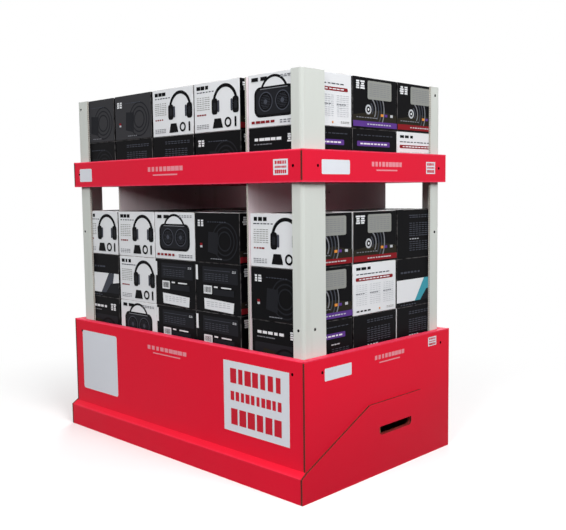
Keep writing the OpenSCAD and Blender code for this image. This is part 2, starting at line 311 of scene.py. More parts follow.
class Effects:
    """Shader node groups that several finishes share, each built once."""

    CLOUD_SCALE = 5.0
    CLOUD_DETAIL = 3.0
    GRAIN_SCALE = 620.0
    GRAIN_DETAIL = 1.0
    WAVE_SWING = 0.33
    MEDIUM_FADE = (0.17, 0.08)
    LINER_FADE = (0.15, 0.09)
    RUB_DETAIL = 4.0
    RUB_PULL = 0.3
    RUB_FADE = (0.58, 0.82)
    # A flat wall looks along an axis, and the wall of a round hole leans away from it
    STRAIGHT = 0.9985
    LEANING = 0.05

    def __init__(self) -> None:
        """Builds the groups."""
        self.mottle = self._mottle()
        self.flutes = self._flutes()
        self.cut_edge = self._cut_edge()
        self.scuff = self._scuff()
        self.hole = self._painted_hole_shade()

    @staticmethod
    def _open(
        name: str, takes: dict[str, str], gives: dict[str, str]
    ) -> tuple[bpy.types.NodeTree, Wiring, bpy.types.NodeOutputs, bpy.types.NodeInputs]:
        """Starts a group with named sockets.

        Args:
            name: The group's name.
            takes: Input names and their socket kinds.
            gives: Output names and their socket kinds.

        Returns:
            The group's tree, its wiring, its inputs and the sockets that take its results.
        """
        tree = bpy.data.node_groups.new(name, "ShaderNodeTree")
        for label, kind in takes.items():
            tree.interface.new_socket(name=label, in_out="INPUT", socket_type="NodeSocket" + kind)
        for label, kind in gives.items():
            tree.interface.new_socket(name=label, in_out="OUTPUT", socket_type="NodeSocket" + kind)
        wire = Wiring(tree)
        return tree, wire, wire.node("NodeGroupInput").outputs, wire.node("NodeGroupOutput").inputs

    def _mottle(self) -> bpy.types.NodeTree:
        """Uneven ink: broad cloudy tone and fine grain.

        Returns:
            The group.
        """
        tree, wire, given, result = self._open(
            "ink_mottle",
            {"Color": "Color", "Vector": "Vector", "Cloud": "Float", "Grain": "Float"},
            {"Color": "Color", "Fleck": "Float"},
        )
        clouds = wire.noise(given["Vector"], self.CLOUD_SCALE, self.CLOUD_DETAIL)
        specks = wire.noise(given["Vector"], self.GRAIN_SCALE, self.GRAIN_DETAIL)
        broad = wire.math("SUBTRACT", clouds, 0.5)
        fine = wire.math("SUBTRACT", specks, 0.5)
        cloud = wire.math("MULTIPLY", broad, given["Cloud"])
        grain = wire.math("MULTIPLY", fine, given["Grain"])
        level = wire.math("ADD", wire.math("ADD", cloud, grain), 1.0)
        wire.feed(result["Color"], wire.shade(given["Color"], level))
        wire.feed(result["Fleck"], wire.math("ADD", wire.math("ADD", broad, fine), 0.5))
        return tree

    def _flutes(self) -> bpy.types.NodeTree:
        """Upright corrugations that show faintly through the liner of a board.

        Returns:
            The group.
        """
        tree, wire, given, result = self._open(
            "flute_ghost", {"Vector": "Vector", "Pitch": "Float"}, {"Height": "Float"}
        )
        x, y, _ = wire.split(given["Vector"])
        turns = wire.math("DIVIDE", wire.math("ADD", x, y), given["Pitch"])
        wave = wire.math("COSINE", wire.math("MULTIPLY", turns, math.tau))
        wire.feed(result["Height"], wire.math("ADD", wire.math("MULTIPLY", wave, 0.5), 0.5))
        return tree

    def _cut_edge(self) -> bpy.types.NodeTree:
        """The cut edge of a corrugated board: two liners and a waved medium over dark hollows.

        Returns:
            The group.
        """
        tree, wire, given, result = self._open(
            "cut_edge",
            {"Along": "Float", "Across": "Float", "Pitch": "Float", "Paper": "Color", "Hollow": "Color"},
            {"Color": "Color", "Height": "Float"},
        )
        angle = wire.math("MULTIPLY", wire.math("DIVIDE", given["Along"], given["Pitch"]), math.tau)
        wave = wire.math("ADD", wire.math("MULTIPLY", wire.math("SINE", angle), self.WAVE_SWING), 0.5)
        from_wave = wire.math("ABSOLUTE", wire.math("SUBTRACT", given["Across"], wave))
        medium = wire.step(from_wave, *self.MEDIUM_FADE)
        nearest = wire.math("MINIMUM", given["Across"], wire.math("SUBTRACT", 1.0, given["Across"]))
        liner = wire.step(nearest, *self.LINER_FADE)
        paper = wire.math("MAXIMUM", medium, liner)
        wire.feed(result["Color"], wire.blend(paper, given["Hollow"], given["Paper"]))
        wire.feed(result["Height"], paper)
        return tree

    def _scuff(self) -> bpy.types.NodeTree:
        """Broken rubbed patches inside a mask, as ink wears off a fold or a corner.

        Returns:
            The group.
        """
        tree, wire, given, result = self._open(
            "rubbed_ink", {"Vector": "Vector", "Mask": "Float", "Scale": "Float"}, {"Mask": "Float"}
        )
        patches = wire.noise(given["Vector"], given["Scale"], self.RUB_DETAIL)
        pull = wire.math("MULTIPLY", given["Mask"], self.RUB_PULL)
        broken = wire.step(wire.math("ADD", patches, pull), *self.RUB_FADE)
        wire.feed(result["Mask"], wire.math("MULTIPLY", broken, given["Mask"]))
        return tree

    def _painted_hole_shade(self) -> bpy.types.NodeTree:
        """The round wall of a rivet hole, which the finishes paint with shade: it leans where the rest of
        an upright board is straight.

        Returns:
            The group.
        """
        tree, wire, given, result = self._open(
            "rivet_hole", {"Normal": "Vector", "Away": "Float"}, {"Mask": "Float"}
        )
        nx, ny, nz = [wire.math("ABSOLUTE", part) for part in wire.split(given["Normal"])]
        round_wall = wire.math("LESS_THAN", wire.math("MAXIMUM", nx, ny), self.STRAIGHT)
        leaning = wire.math("GREATER_THAN", nz, self.LEANING)
        near = wire.math("LESS_THAN", given["Away"], RIVET_REACH)
        wire.feed(result["Mask"], wire.math("MULTIPLY", near, wire.math("MULTIPLY", round_wall, leaning)))
        return tree


class Surface:
    """A material under construction: its wiring, its coordinates and its Principled shader."""

    def __init__(self, name: str) -> None:
        """Starts a node material with object coordinates and the surface's direction.

        Args:
            name: The material's name.
        """
        self.material = bpy.data.materials.new(name)
        self.material.use_nodes = True
        self.wire = Wiring(self.material.node_tree)
        self.shader = self.material.node_tree.nodes["Principled BSDF"]
        self.place = self.wire.node("ShaderNodeTexCoord").outputs["Object"]
        self.facing = self.wire.node("ShaderNodeNewGeometry").outputs["True Normal"]

    def ink(self, effects: Effects, colour: Value, cloud: float, grain: float) -> bpy.types.NodeOutputs:
        """Uneven ink of one colour, as the outputs Color and Fleck."""
        return self.wire.group(effects.mottle, Color=colour, Vector=self.place, Cloud=cloud, Grain=grain)

    def flutes(self, effects: Effects) -> bpy.types.NodeSocket:
        """Height of the flutes that show through the surface."""
        return self.wire.group(effects.flutes, Vector=self.place, Pitch=FLUTE_PITCH)["Height"]

    def set(self, **values: Value) -> bpy.types.Material:
        """Feeds the shader's inputs.

        Args:
            **values: Input names with an underscore for each space, and what they get.

        Returns:
            The finished material.
        """
        for name, value in values.items():
            self.wire.feed(self.shader.inputs[name.replace("_", " ")], value)
        return self.material


@dataclass(frozen=True)
class RedBoard:
    """Red printed corrugated board with brown cut edges and pale folds, which are partly rubbed ink and
    partly a painted highlight; the end walls also take painted shade towards the foot.

    Each fold is a height and how strongly the painted highlight and the rubbed ink show there.
    """

    name: str
    folds: tuple[Point, ...]
    rivet_row: float
    cut_from: float | None = None
    colour: Colour = srgb(222, 25, 51)
    # Pale pink of the folds: rubbed ink, and a painted highlight along the fold lines
    rubbed: Colour = srgb(236, 76, 106)
    paper: Colour = srgb(150, 62, 54)
    hollow: Colour = srgb(26, 10, 10)
    cloud: float = 0.10
    grain: float = 0.10
    fold_reach: float = 0.005
    fold_core: float = 0.00125
    fold_highlight_and_wear: float = 0.30
    rub_pale: float = 0.35
    rub_scale: float = 90.0
    # Painted shade: how much darker the board grows towards the floor, where less light falls
    painted_foot_shade: float = 0.0
    painted_foot_shade_top: float = 0.34
    layer_pitch: float = BOARD + LAYER_GAP
    # How far inside its place a cut edge may still lie
    cut_slack: float = BOARD / 12
    cut_relief: float = 8.0
    # Below this part of a fold's mask the board isn't folded
    unfolded: float = 0.02
    roughness: float = 0.40
    roughness_play: float = 0.14
    sheen: float = 0.09

    def material(self, effects: Effects) -> bpy.types.Material:
        """Builds the finish.

        Args:
            effects: The shared node groups.

        Returns:
            The material.
        """
        surface = Surface(self.name)
        wire = surface.wire
        height = wire.split(surface.place)[2]
        fold: Value = 0.0
        for level, strength in self.folds:
            away = wire.math("ABSOLUTE", wire.math("SUBTRACT", height, level))
            line = wire.step(away, self.fold_reach, self.fold_core)
            fold = wire.math("MAXIMUM", fold, wire.math("MULTIPLY", line, strength))
        ink = surface.ink(effects, self.colour, self.cloud, self.grain)
        worn = wire.group(effects.scuff, Vector=surface.place, Mask=fold, Scale=self.rub_scale)["Mask"]
        # Painted highlight along each fold line, with rubbed ink in broken patches over it
        pale = wire.math(
            "ADD", wire.math("MULTIPLY", fold, self.fold_highlight_and_wear), wire.math("MULTIPLY", worn, self.rub_pale)
        )
        # Painted shade: the colour grows darker from a height down to the floor
        foot = wire.math("MULTIPLY", wire.step(height, self.painted_foot_shade_top, 0.0), self.painted_foot_shade)
        colour = wire.shade(wire.blend(pale, ink["Color"], self.rubbed), wire.math("SUBTRACT", 1.0, foot))
        relief = surface.flutes(effects)
        if self.cut_from is not None:
            cut, edge = self._cut(effects, surface, fold)
            colour = wire.blend(cut, colour, edge["Color"])
            ridges = wire.math("MULTIPLY", edge["Height"], self.cut_relief)
            relief = wire.math("ADD", relief, wire.math("MULTIPLY", cut, ridges))
        # Painted shade on the walls of the rivet holes along the row
        from_row = wire.math("ABSOLUTE", wire.math("SUBTRACT", height, self.rivet_row))
        hole = wire.group(effects.hole, Normal=surface.facing, Away=from_row)["Mask"]
        colour = wire.blend(hole, colour, HOLE_PAINTED_SHADE)
        rough = wire.math("ADD", wire.math("MULTIPLY", ink["Fleck"], self.roughness_play), self.roughness)
        return surface.set(
            Base_Color=colour,
            Roughness=rough,
            Normal=wire.bump(relief, FLUTE_RELIEF),
            Specular_IOR_Level=self.sheen,
        )

    def _cut(
        self, effects: Effects, surface: Surface, fold: Value
    ) -> tuple[bpy.types.NodeSocket, bpy.types.NodeOutputs]:
        """Finds the cut edges of the end boards and draws their flutes.

        Args:
            effects: The shared node groups.
            surface: The material under construction.
            fold: Mask of the folds, which aren't cut.

        Returns:
            The mask of the cut edges and the outputs of the cut edge group.
        """
        wire = surface.wire
        x, y, z = wire.split(surface.place)
        nx, ny, nz = wire.split(surface.facing)
        outward = wire.math("SUBTRACT", wire.math("ABSOLUTE", x), self.cut_from)
        sideways = wire.math("LESS_THAN", wire.math("ABSOLUTE", nx), FACING)
        outer = wire.math("GREATER_THAN", outward, -self.cut_slack)
        unfolded = wire.math("LESS_THAN", fold, self.unfolded)
        mask = wire.math("MULTIPLY", wire.math("MULTIPLY", sideways, outer), unfolded)
        along = wire.math("SUBTRACT", wire.math("MULTIPLY", y, nz), wire.math("MULTIPLY", z, ny))
        layer = wire.math("FRACT", wire.math("DIVIDE", outward, self.layer_pitch))
        across = wire.math("MULTIPLY", layer, self.layer_pitch / BOARD)
        edge = wire.group(
            effects.cut_edge,
            Along=along,
            Across=across,
            Pitch=FLUTE_PITCH,
            Paper=self.paper,
            Hollow=self.hollow,
        )
        return mask, edge


class Sheet(Enum):
    """Kinds of white board, by how their cut edges lie."""

    POST = "post"
    DIVIDER = "divider"


@dataclass(frozen=True)
class WhiteBoard:
    """White lined corrugated board, a little soiled, with pale cut edges, painted shade where it bends and
    painted shade in its rivet holes.
    """

    name: str
    kind: Sheet
    outer_x: float
    outer_y: float
    colour: Colour = srgb(202, 206, 201)
    soiled: Colour = srgb(172, 170, 160)
    paper: Colour = srgb(204, 202, 194)
    hollow: Colour = srgb(150, 146, 138)
    cloud: float = 0.05
    grain: float = 0.05
    streak_stretch: tuple[float, float, float] = (30.0, 30.0, 2.5)
    streak_detail: float = 3.0
    soil_fade: Point = (0.52, 0.85)
    soil_share: float = 0.35
    # The cut edge of a post's leg lies further than this from the post's outer face
    shortest_leg: float = 0.030
    # Painted shade at a post's bend, where its faces turn from one leg to the other
    bend_fade: Point = (0.05, 0.55)
    painted_bend_shade: float = 0.16
    cut_relief: float = 6.0
    roughness: float = 0.55
    roughness_play: float = 0.12
    sheen: float = 0.12

    def material(self, effects: Effects) -> bpy.types.Material:
        """Builds the finish.

        Args:
            effects: The shared node groups.

        Returns:
            The material.
        """
        surface = Surface(self.name)
        wire = surface.wire
        ink = surface.ink(effects, self.colour, self.cloud, self.grain)
        upright = wire.stretch(surface.place, self.streak_stretch)
        streaks = wire.noise(upright, 1.0, self.streak_detail)
        soil = wire.math("MULTIPLY", wire.step(streaks, *self.soil_fade), self.soil_share)
        cut, along, across = self._cut(surface)
        edge = wire.group(
            effects.cut_edge,
            Along=along,
            Across=across,
            Pitch=FLUTE_PITCH,
            Paper=self.paper,
            Hollow=self.hollow,
        )
        # Painted shade: the board is darker where it bends round a post's corner
        nx, ny, _ = [wire.math("ABSOLUTE", part) for part in wire.split(surface.facing)]
        turned = wire.step(wire.math("MINIMUM", nx, ny), *self.bend_fade)
        bend = wire.math("MULTIPLY", turned, self.painted_bend_shade)
        sheet = wire.shade(wire.blend(soil, ink["Color"], self.soiled), wire.math("SUBTRACT", 1.0, bend))
        colour = wire.blend(cut, sheet, edge["Color"])
        # Painted shade on the walls of the rivet holes
        hole = wire.group(effects.hole, Normal=surface.facing, Away=0.0)["Mask"]
        colour = wire.blend(hole, colour, HOLE_PAINTED_SHADE)
        ridges = wire.math("MULTIPLY", edge["Height"], self.cut_relief)
        relief = wire.math("ADD", surface.flutes(effects), wire.math("MULTIPLY", cut, ridges))
        rough = wire.math("ADD", wire.math("MULTIPLY", ink["Fleck"], self.roughness_play), self.roughness)
        return surface.set(
            Base_Color=colour,
            Roughness=rough,
            Normal=wire.bump(relief, FLUTE_RELIEF),
            Specular_IOR_Level=self.sheen,
        )

    def _cut(
        self, surface: Surface
    ) -> tuple[bpy.types.NodeSocket, bpy.types.NodeSocket, bpy.types.NodeSocket]:
        """Finds the cut edges: a post's ends and leg edges, or all round a divider.

        Args:
            surface: The material under construction.

        Returns:
            The mask, the distance along the edge, and the share of the way across the board.
        """
        wire = surface.wire
        x, y, z = wire.split(surface.place)
        nx, ny, nz = wire.split(surface.facing)
        from_x = wire.math("SUBTRACT", self.outer_x, wire.math("ABSOLUTE", x))
        if self.kind is Sheet.DIVIDER:
            mask = wire.math("LESS_THAN", wire.math("ABSOLUTE", nx), FACING)
            along = wire.math("SUBTRACT", wire.math("MULTIPLY", y, nz), wire.math("MULTIPLY", z, ny))
            return mask, along, wire.math("DIVIDE", from_x, BOARD)
        from_y = wire.math("SUBTRACT", self.outer_y, wire.math("ABSOLUTE", y))
        ends = wire.math("GREATER_THAN", wire.math("ABSOLUTE", nz), FACING)
        legs = [
            wire.math(
                "MULTIPLY",
                wire.math("GREATER_THAN", wire.math("ABSOLUTE", turned), FACING),
                wire.math("GREATER_THAN", reach, self.shortest_leg),
            )
            for turned, reach in ((nx, from_x), (ny, from_y))
        ]
        mask = wire.math("MAXIMUM", ends, wire.math("MAXIMUM", legs[0], legs[1]))
        along = wire.math("ADD", z, wire.math("ADD", x, y))
        return mask, along, wire.math("DIVIDE", wire.math("MINIMUM", from_x, from_y), BOARD)


@dataclass(frozen=True)
class KraftBoard:
    """Plain brown board of the pad under the cartons."""

    name: str = "kraft_board"
    colour: Colour = srgb(176, 138, 98)
    cloud: float = 0.12
    grain: float = 0.28
    roughness: float = 0.85
    relief: float = 2 * FLUTE_RELIEF

    def material(self, effects: Effects) -> bpy.types.Material:
        """Builds the finish.

        Args:
            effects: The shared node groups.

        Returns:
            The material.
        """
        surface = Surface(self.name)
        ink = surface.ink(effects, self.colour, self.cloud, self.grain)
        normal = surface.wire.bump(surface.flutes(effects), self.relief)
        return surface.set(Base_Color=ink["Color"], Roughness=self.roughness, Normal=normal)


class Grain(Enum):
    """Which way a board's wood grain runs, as coordinate scales."""

    ALONG_X = (1.6, 26.0, 26.0)
    ALONG_Y = (26.0, 1.6, 26.0)


@dataclass(frozen=True)
class PalletWood:
    """Rough sawn softwood."""

    name: str
    grain: Grain
    pale: Colour = srgb(198, 168, 122)
    dark: Colour = srgb(146, 108, 68)
    ring_scale: float = 0.9
    ring_bend: float = 7.0
    ring_detail: float = 3.0
    ring_share: float = 0.55
    saw_scale: float = 9.0
    saw_detail: float = 4.0
    saw_share: float = 0.4
    cloud: float = 0.25
    fleck: float = 0.2
    roughness: float = 0.8
    relief: float = 0.0004

    def material(self, effects: Effects) -> bpy.types.Material:
        """Builds the finish.

        Args:
            effects: The shared node groups.

        Returns:
            The material.
        """
        surface = Surface(self.name)
        wire = surface.wire
        place = wire.stretch(surface.place, self.grain.value)
        rings = wire.node("ShaderNodeTexWave", wave_type="RINGS", wave_profile="SAW")
        wire.feed(rings.inputs["Vector"], place)
        wire.feed(rings.inputs["Scale"], self.ring_scale)
        wire.feed(rings.inputs["Distortion"], self.ring_bend)
        wire.feed(rings.inputs["Detail"], self.ring_detail)
        saw_marks = wire.noise(place, self.saw_scale, self.saw_detail)
        tone = wire.math(
            "ADD",
            wire.math("MULTIPLY", rings.outputs["Fac"], self.ring_share),
            wire.math("MULTIPLY", saw_marks, self.saw_share),
        )
        wood = surface.ink(effects, wire.blend(tone, self.pale, self.dark), self.cloud, self.fleck)
        normal = wire.bump(tone, self.relief)
        return surface.set(Base_Color=wood["Color"], Roughness=self.roughness, Normal=normal)


@dataclass(frozen=True)
class Coating:
    """Soft gloss of coated carton board, with slight dents."""

    roughness: float
    roughness_play: float = 0.12
    dent_scale: float = 14.0
    dent_depth: float = 0.002
    dent_strength: float = 0.35
    sheen: float = 0.03

    def lay(self, surface: Surface, colour: Value, fleck: Value) -> bpy.types.Material:
        """Finishes a material.

        Args:
            surface: The material under construction.
            colour: Its colour.
            fleck: How uneven its ink is.

        Returns:
            The material.
        """
        wire = surface.wire
        rough = wire.math("ADD", wire.math("MULTIPLY", fleck, self.roughness_play), self.roughness)
        dents = wire.noise(surface.place, self.dent_scale)
        return surface.set(
            Base_Color=colour,
            Roughness=rough,
            Normal=wire.bump(dents, self.dent_depth, self.dent_strength),
            Specular_IOR_Level=self.sheen,
        )


# Name of the layer that says where a carton's edges are rubbed
EDGE_WEAR = "edge"


@dataclass(frozen=True)
class CartonStock:
    """Coated carton board, printed all over, with paper showing where its edges are rubbed."""

    name: str
    colour: Colour
    rubbed: Colour
    cloud: float = 0.10
    grain: float = 0.06
    rub_scale: float = 60.0
    coating: Coating = Coating(0.34)

    def material(self, effects: Effects) -> bpy.types.Material:
        """Builds the finish.

        Args:
            effects: The shared node groups.

        Returns:
            The material.
        """
        surface = Surface(self.name)
        wire = surface.wire
        ink = surface.ink(effects, self.colour, self.cloud, self.grain)
        edge = wire.node("ShaderNodeAttribute", attribute_name=EDGE_WEAR).outputs["Fac"]
        worn = wire.group(effects.scuff, Vector=surface.place, Mask=edge, Scale=self.rub_scale)["Mask"]
        return self.coating.lay(surface, wire.blend(worn, ink["Color"], self.rubbed), ink["Fleck"])


@dataclass(frozen=True)
class PrintedInk:
    """One ink of a print, slightly uneven, as glossy as the sheet under it."""

    ink: Ink
    cloud: float = 0.08
    grain: float = 0.08
    coating: Coating = Coating(0.36)

    def material(self, effects: Effects) -> bpy.types.Material:
        """Builds the finish.

        Args:
            effects: The shared node groups.

        Returns:
            The material.
        """
        surface = Surface("ink_" + self.ink.name.lower())
        laid = surface.ink(effects, self.ink.linear, self.cloud, self.grain)
        return self.coating.lay(surface, laid["Color"], laid["Fleck"])


class RepeatTree:
    """A Geometry Nodes tree that repeats one small flat shape, with named inputs for its sizes."""

    # Places of the plain number sockets on a Random Value node, whose names aren't unique
    RANDOM_LOW = 2
    RANDOM_HIGH = 3
    RANDOM_RESULT = 1

    def __init__(self, name: str, takes: dict[str, str]) -> None:
        """Makes the tree and its sockets.

        Args:
            name: The tree's name.
            takes: Input names and their socket kinds.
        """
        self.tree = bpy.data.node_groups.new(name, "GeometryNodeTree")
        self.tree.is_modifier = True
        self.identifiers: dict[str, str] = {}
        for label, kind in takes.items():
            socket = self.tree.interface.new_socket(
                name=label, in_out="INPUT", socket_type="NodeSocket" + kind
            )
            self.identifiers[label] = socket.identifier
        self.tree.interface.new_socket(name="Geometry", in_out="OUTPUT", socket_type="NodeSocketGeometry")
        self.wire = Wiring(self.tree)
        self.given = self.wire.node("NodeGroupInput").outputs

    def close(self, points: Value, shape: Value, scale: Value, chosen: Value = True) -> None:
        """Sets the shape on the points, makes it real geometry and gives it its material.

        Args:
            points: Where the shape goes.
            shape: The shape that is repeated.
            scale: Its size at each point.
            chosen: Which points are used.
        """
        wire = self.wire
        placed = wire.node("GeometryNodeInstanceOnPoints")
        wire.feed(placed.inputs["Points"], points)
        wire.feed(placed.inputs["Instance"], shape)
        wire.feed(placed.inputs["Scale"], scale)
        wire.feed(placed.inputs["Selection"], chosen)
        real = wire.node("GeometryNodeRealizeInstances")
        wire.feed(real.inputs["Geometry"], placed.outputs["Instances"])
        painted = wire.node("GeometryNodeSetMaterial")
        wire.feed(painted.inputs["Geometry"], real.outputs["Geometry"])
        wire.feed(painted.inputs["Material"], self.given["Material"])
        wire.feed(wire.node("NodeGroupOutput").inputs["Geometry"], painted.outputs["Geometry"])

    def grid(self, size_x: Value, size_y: Value, count_x: Value, count_y: Value) -> bpy.types.NodeSocket:
        """A flat grid of points.

        Args:
            size_x: Its width.
            size_y: Its height.
            count_x: How many points there are across.
            count_y: How many points there are upwards.

        Returns:
            The grid's mesh.
        """
        made = self.wire.node("GeometryNodeMeshGrid")
        sizes = {"Size X": size_x, "Size Y": size_y, "Vertices X": count_x, "Vertices Y": count_y}
        for name, value in sizes.items():
            self.wire.feed(made.inputs[name], value)
        return made.outputs["Mesh"]

    def square(self) -> bpy.types.NodeSocket:
        """One plain square with sides of 1."""
        return self.grid(1.0, 1.0, 2, 2)

    def random(self, low: float, high: float) -> bpy.types.NodeSocket:
        """A number for each point, from the tree's seed.

        Args:
            low: The smallest number.
            high: The largest number.

        Returns:
            The numbers.
        """
        made = self.wire.node("FunctionNodeRandomValue", data_type="FLOAT")
        self.wire.feed(made.inputs[self.RANDOM_LOW], low)
        self.wire.feed(made.inputs[self.RANDOM_HIGH], high)
        self.wire.feed(made.inputs["Seed"], self.given["Seed"])
        return made.outputs[self.RANDOM_RESULT]

    def vector(self, x: Value, y: Value, z: Value = 1.0) -> bpy.types.NodeSocket:
        """A vector from its parts.

        Args:
            x: Its part along X.
            y: Its part along Y.
            z: Its part along Z.

        Returns:
            The vector.
        """
        made = self.wire.node("ShaderNodeCombineXYZ")
        for socket, value in zip(made.inputs, (x, y, z)):
            self.wire.feed(socket, value)
        return made.outputs[0]

    def mesh(self, material: bpy.types.Material, **values: float) -> bpy.types.Mesh:
        """Runs the tree once and returns its result as a plain mesh.

        Args:
            material: What the shapes are painted with.
            **values: The tree's inputs by name.

        Returns:
            The mesh, in the plane of X and Y round the origin.
        """
        carrier = bpy.data.objects.new("carrier", bpy.data.meshes.new("carrier"))
        bpy.context.scene.collection.objects.link(carrier)
        modifier = carrier.modifiers.new("repeat", "NODES")
        modifier.node_group = self.tree
        for name, value in {**values, "Material": material}.items():
            modifier[self.identifiers[name]] = value
        graph = bpy.context.evaluated_depsgraph_get()
        made = bpy.data.meshes.new_from_object(carrier.evaluated_get(graph))
        shell = carrier.data
        bpy.data.objects.remove(carrier)
        bpy.data.meshes.remove(shell)
        return made


class WordRows(RepeatTree):
    """Rows of short bars of uneven length, as small print reads from a step away."""

    LENGTHS = (0.55, 0.96)

    def __init__(self) -> None:
        """Builds the tree."""
        super().__init__(
            "word_rows",
            {
                "Width": "Float", "Height": "Float", "Rows": "Int", "Words": "Int",
                "Weight": "Float", "Seed": "Int", "Material": "Material",
            },
        )
        wire, given = self.wire, self.given
        cell_x = wire.math("DIVIDE", given["Width"], given["Words"])
        cell_y = wire.math("DIVIDE", given["Height"], given["Rows"])
        points = self.grid(
            wire.math("SUBTRACT", given["Width"], cell_x),
            wire.math("SUBTRACT", given["Height"], cell_y),
            given["Words"],
            given["Rows"],
        )
        length = wire.math("MULTIPLY", cell_x, self.random(*self.LENGTHS))
        scale = self.vector(length, wire.math("MULTIPLY", cell_y, given["Weight"]))
        self.close(points, self.square(), scale)


class CodeBars(RepeatTree):
    """Upright bars of uneven width, as a stock code has them."""

    WIDTHS = (0.25, 0.8)

    def __init__(self) -> None:
        """Builds the tree."""
        super().__init__(
            "code_bars",
            {"Width": "Float", "Height": "Float", "Bars": "Int", "Seed": "Int", "Material": "Material"},
        )
        wire, given = self.wire, self.given
        pitch = wire.math("DIVIDE", given["Width"], given["Bars"])
        points = self.grid(wire.math("SUBTRACT", given["Width"], pitch), 0.0, given["Bars"], 1)
        width = wire.math("MULTIPLY", pitch, self.random(*self.WIDTHS))
        self.close(points, self.square(), self.vector(width, given["Height"]))


class GrilleDots(RepeatTree):
    """A round field of small dots, as a perforated grille has them."""

    SIDES = 6

    def __init__(self) -> None:
        """Builds the tree."""
        super().__init__(
            "grille_dots",
            {"Radius": "Float", "Count": "Int", "Dot": "Float", "Material": "Material"},
        )
        wire, given = self.wire, self.given
        across = wire.math("MULTIPLY", given["Radius"], 2.0)
        points = self.grid(across, across, given["Count"], given["Count"])
        place = wire.node("GeometryNodeInputPosition").outputs[0]
        away = wire.node("ShaderNodeVectorMath", operation="LENGTH")
        wire.feed(away.inputs[0], place)
        inside = wire.node("FunctionNodeCompare", data_type="FLOAT", operation="LESS_THAN")
        wire.feed(inside.inputs[0], away.outputs["Value"])
        wire.feed(inside.inputs[1], given["Radius"])
        dot = wire.node("GeometryNodeMeshCircle", fill_type="NGON")
        wire.feed(dot.inputs["Vertices"], self.SIDES)
        wire.feed(dot.inputs["Radius"], given["Dot"])
        self.close(points, dot.outputs["Mesh"], self.vector(1.0, 1.0), inside.outputs[0])


@dataclass(frozen=True)
class Block:
    """An upright box in the frame, between its lowest and its highest corner."""

    low: Vector
    high: Vector


class Side(Enum):
    """Faces of an upright box: outward direction, the way to the right as seen from outside, and up."""

    FRONT = ((0, -1, 0), (1, 0, 0), (0, 0, 1))
    RIGHT = ((1, 0, 0), (0, 1, 0), (0, 0, 1))
    BACK = ((0, 1, 0), (-1, 0, 0), (0, 0, 1))
    LEFT = ((-1, 0, 0), (0, -1, 0), (0, 0, 1))
    TOP = ((0, 0, 1), (1, 0, 0), (0, 1, 0))

    @property
    def out(self) -> Vector:
        """Outward direction."""
        return Vector(self.value[0])

    @property
    def right(self) -> Vector:
        """To the right, seen from outside."""
        return Vector(self.value[1])

    @property
    def up(self) -> Vector:
        """Up on the face."""
        return Vector(self.value[2])

    def corner(self, block: Block) -> Vector:
        """The face's lower left corner, seen from outside."""
        reach = self.out - self.right - self.up
        return Vector(block.high[i] if reach[i] > 0 else block.low[i] for i in range(3))

    def spans(self, block: Block) -> Point:
        """The face's width and height."""
        size = block.high - block.low
        return abs(size.dot(self.right)), abs(size.dot(self.up))


class Press:
    """Holds the ink materials and the repeating trees that prints are made with."""

    def __init__(self, effects: Effects) -> None:
        """Mixes the inks and builds the trees.

        Args:
            effects: The shared node groups.
        """
        self.inks = {ink: PrintedInk(ink).material(effects) for ink in Ink}
        self.order = list(Ink)
        self.words = WordRows()
        self.bars = CodeBars()
        self.dots = GrilleDots()


class PrintRun:
    """Ink shapes of one print, gathered from its faces and made into one piece."""

    def __init__(self, name: str, press: Press) -> None:
        """Starts an empty print.

        Args:
            name: The name of its piece.
            press: Inks and repeating trees.
        """
        self.name = name
        self.press = press
        self.shapes: list[tuple[list[Vector], Ink]] = []

    def piece(self, slot: Slot) -> bpy.types.Object:
        """Makes the piece and lets it ride on the part.

        Args:
            slot: The record's material slot; not used.

        Returns:
            The finished piece.
        """
        used = [ink for ink in self.press.order if any(ink is laid for _, laid in self.shapes)]
        mesh = bpy.data.meshes.new(self.name)
        for ink in used:
            mesh.materials.append(self.press.inks[ink])
        work = bmesh.new()
        for outline, ink in self.shapes:
            face = work.faces.new([work.verts.new(point) for point in outline])
            face.material_index = used.index(ink)
        work.to_mesh(mesh)
        work.free()
        return add_piece(self.name, mesh)


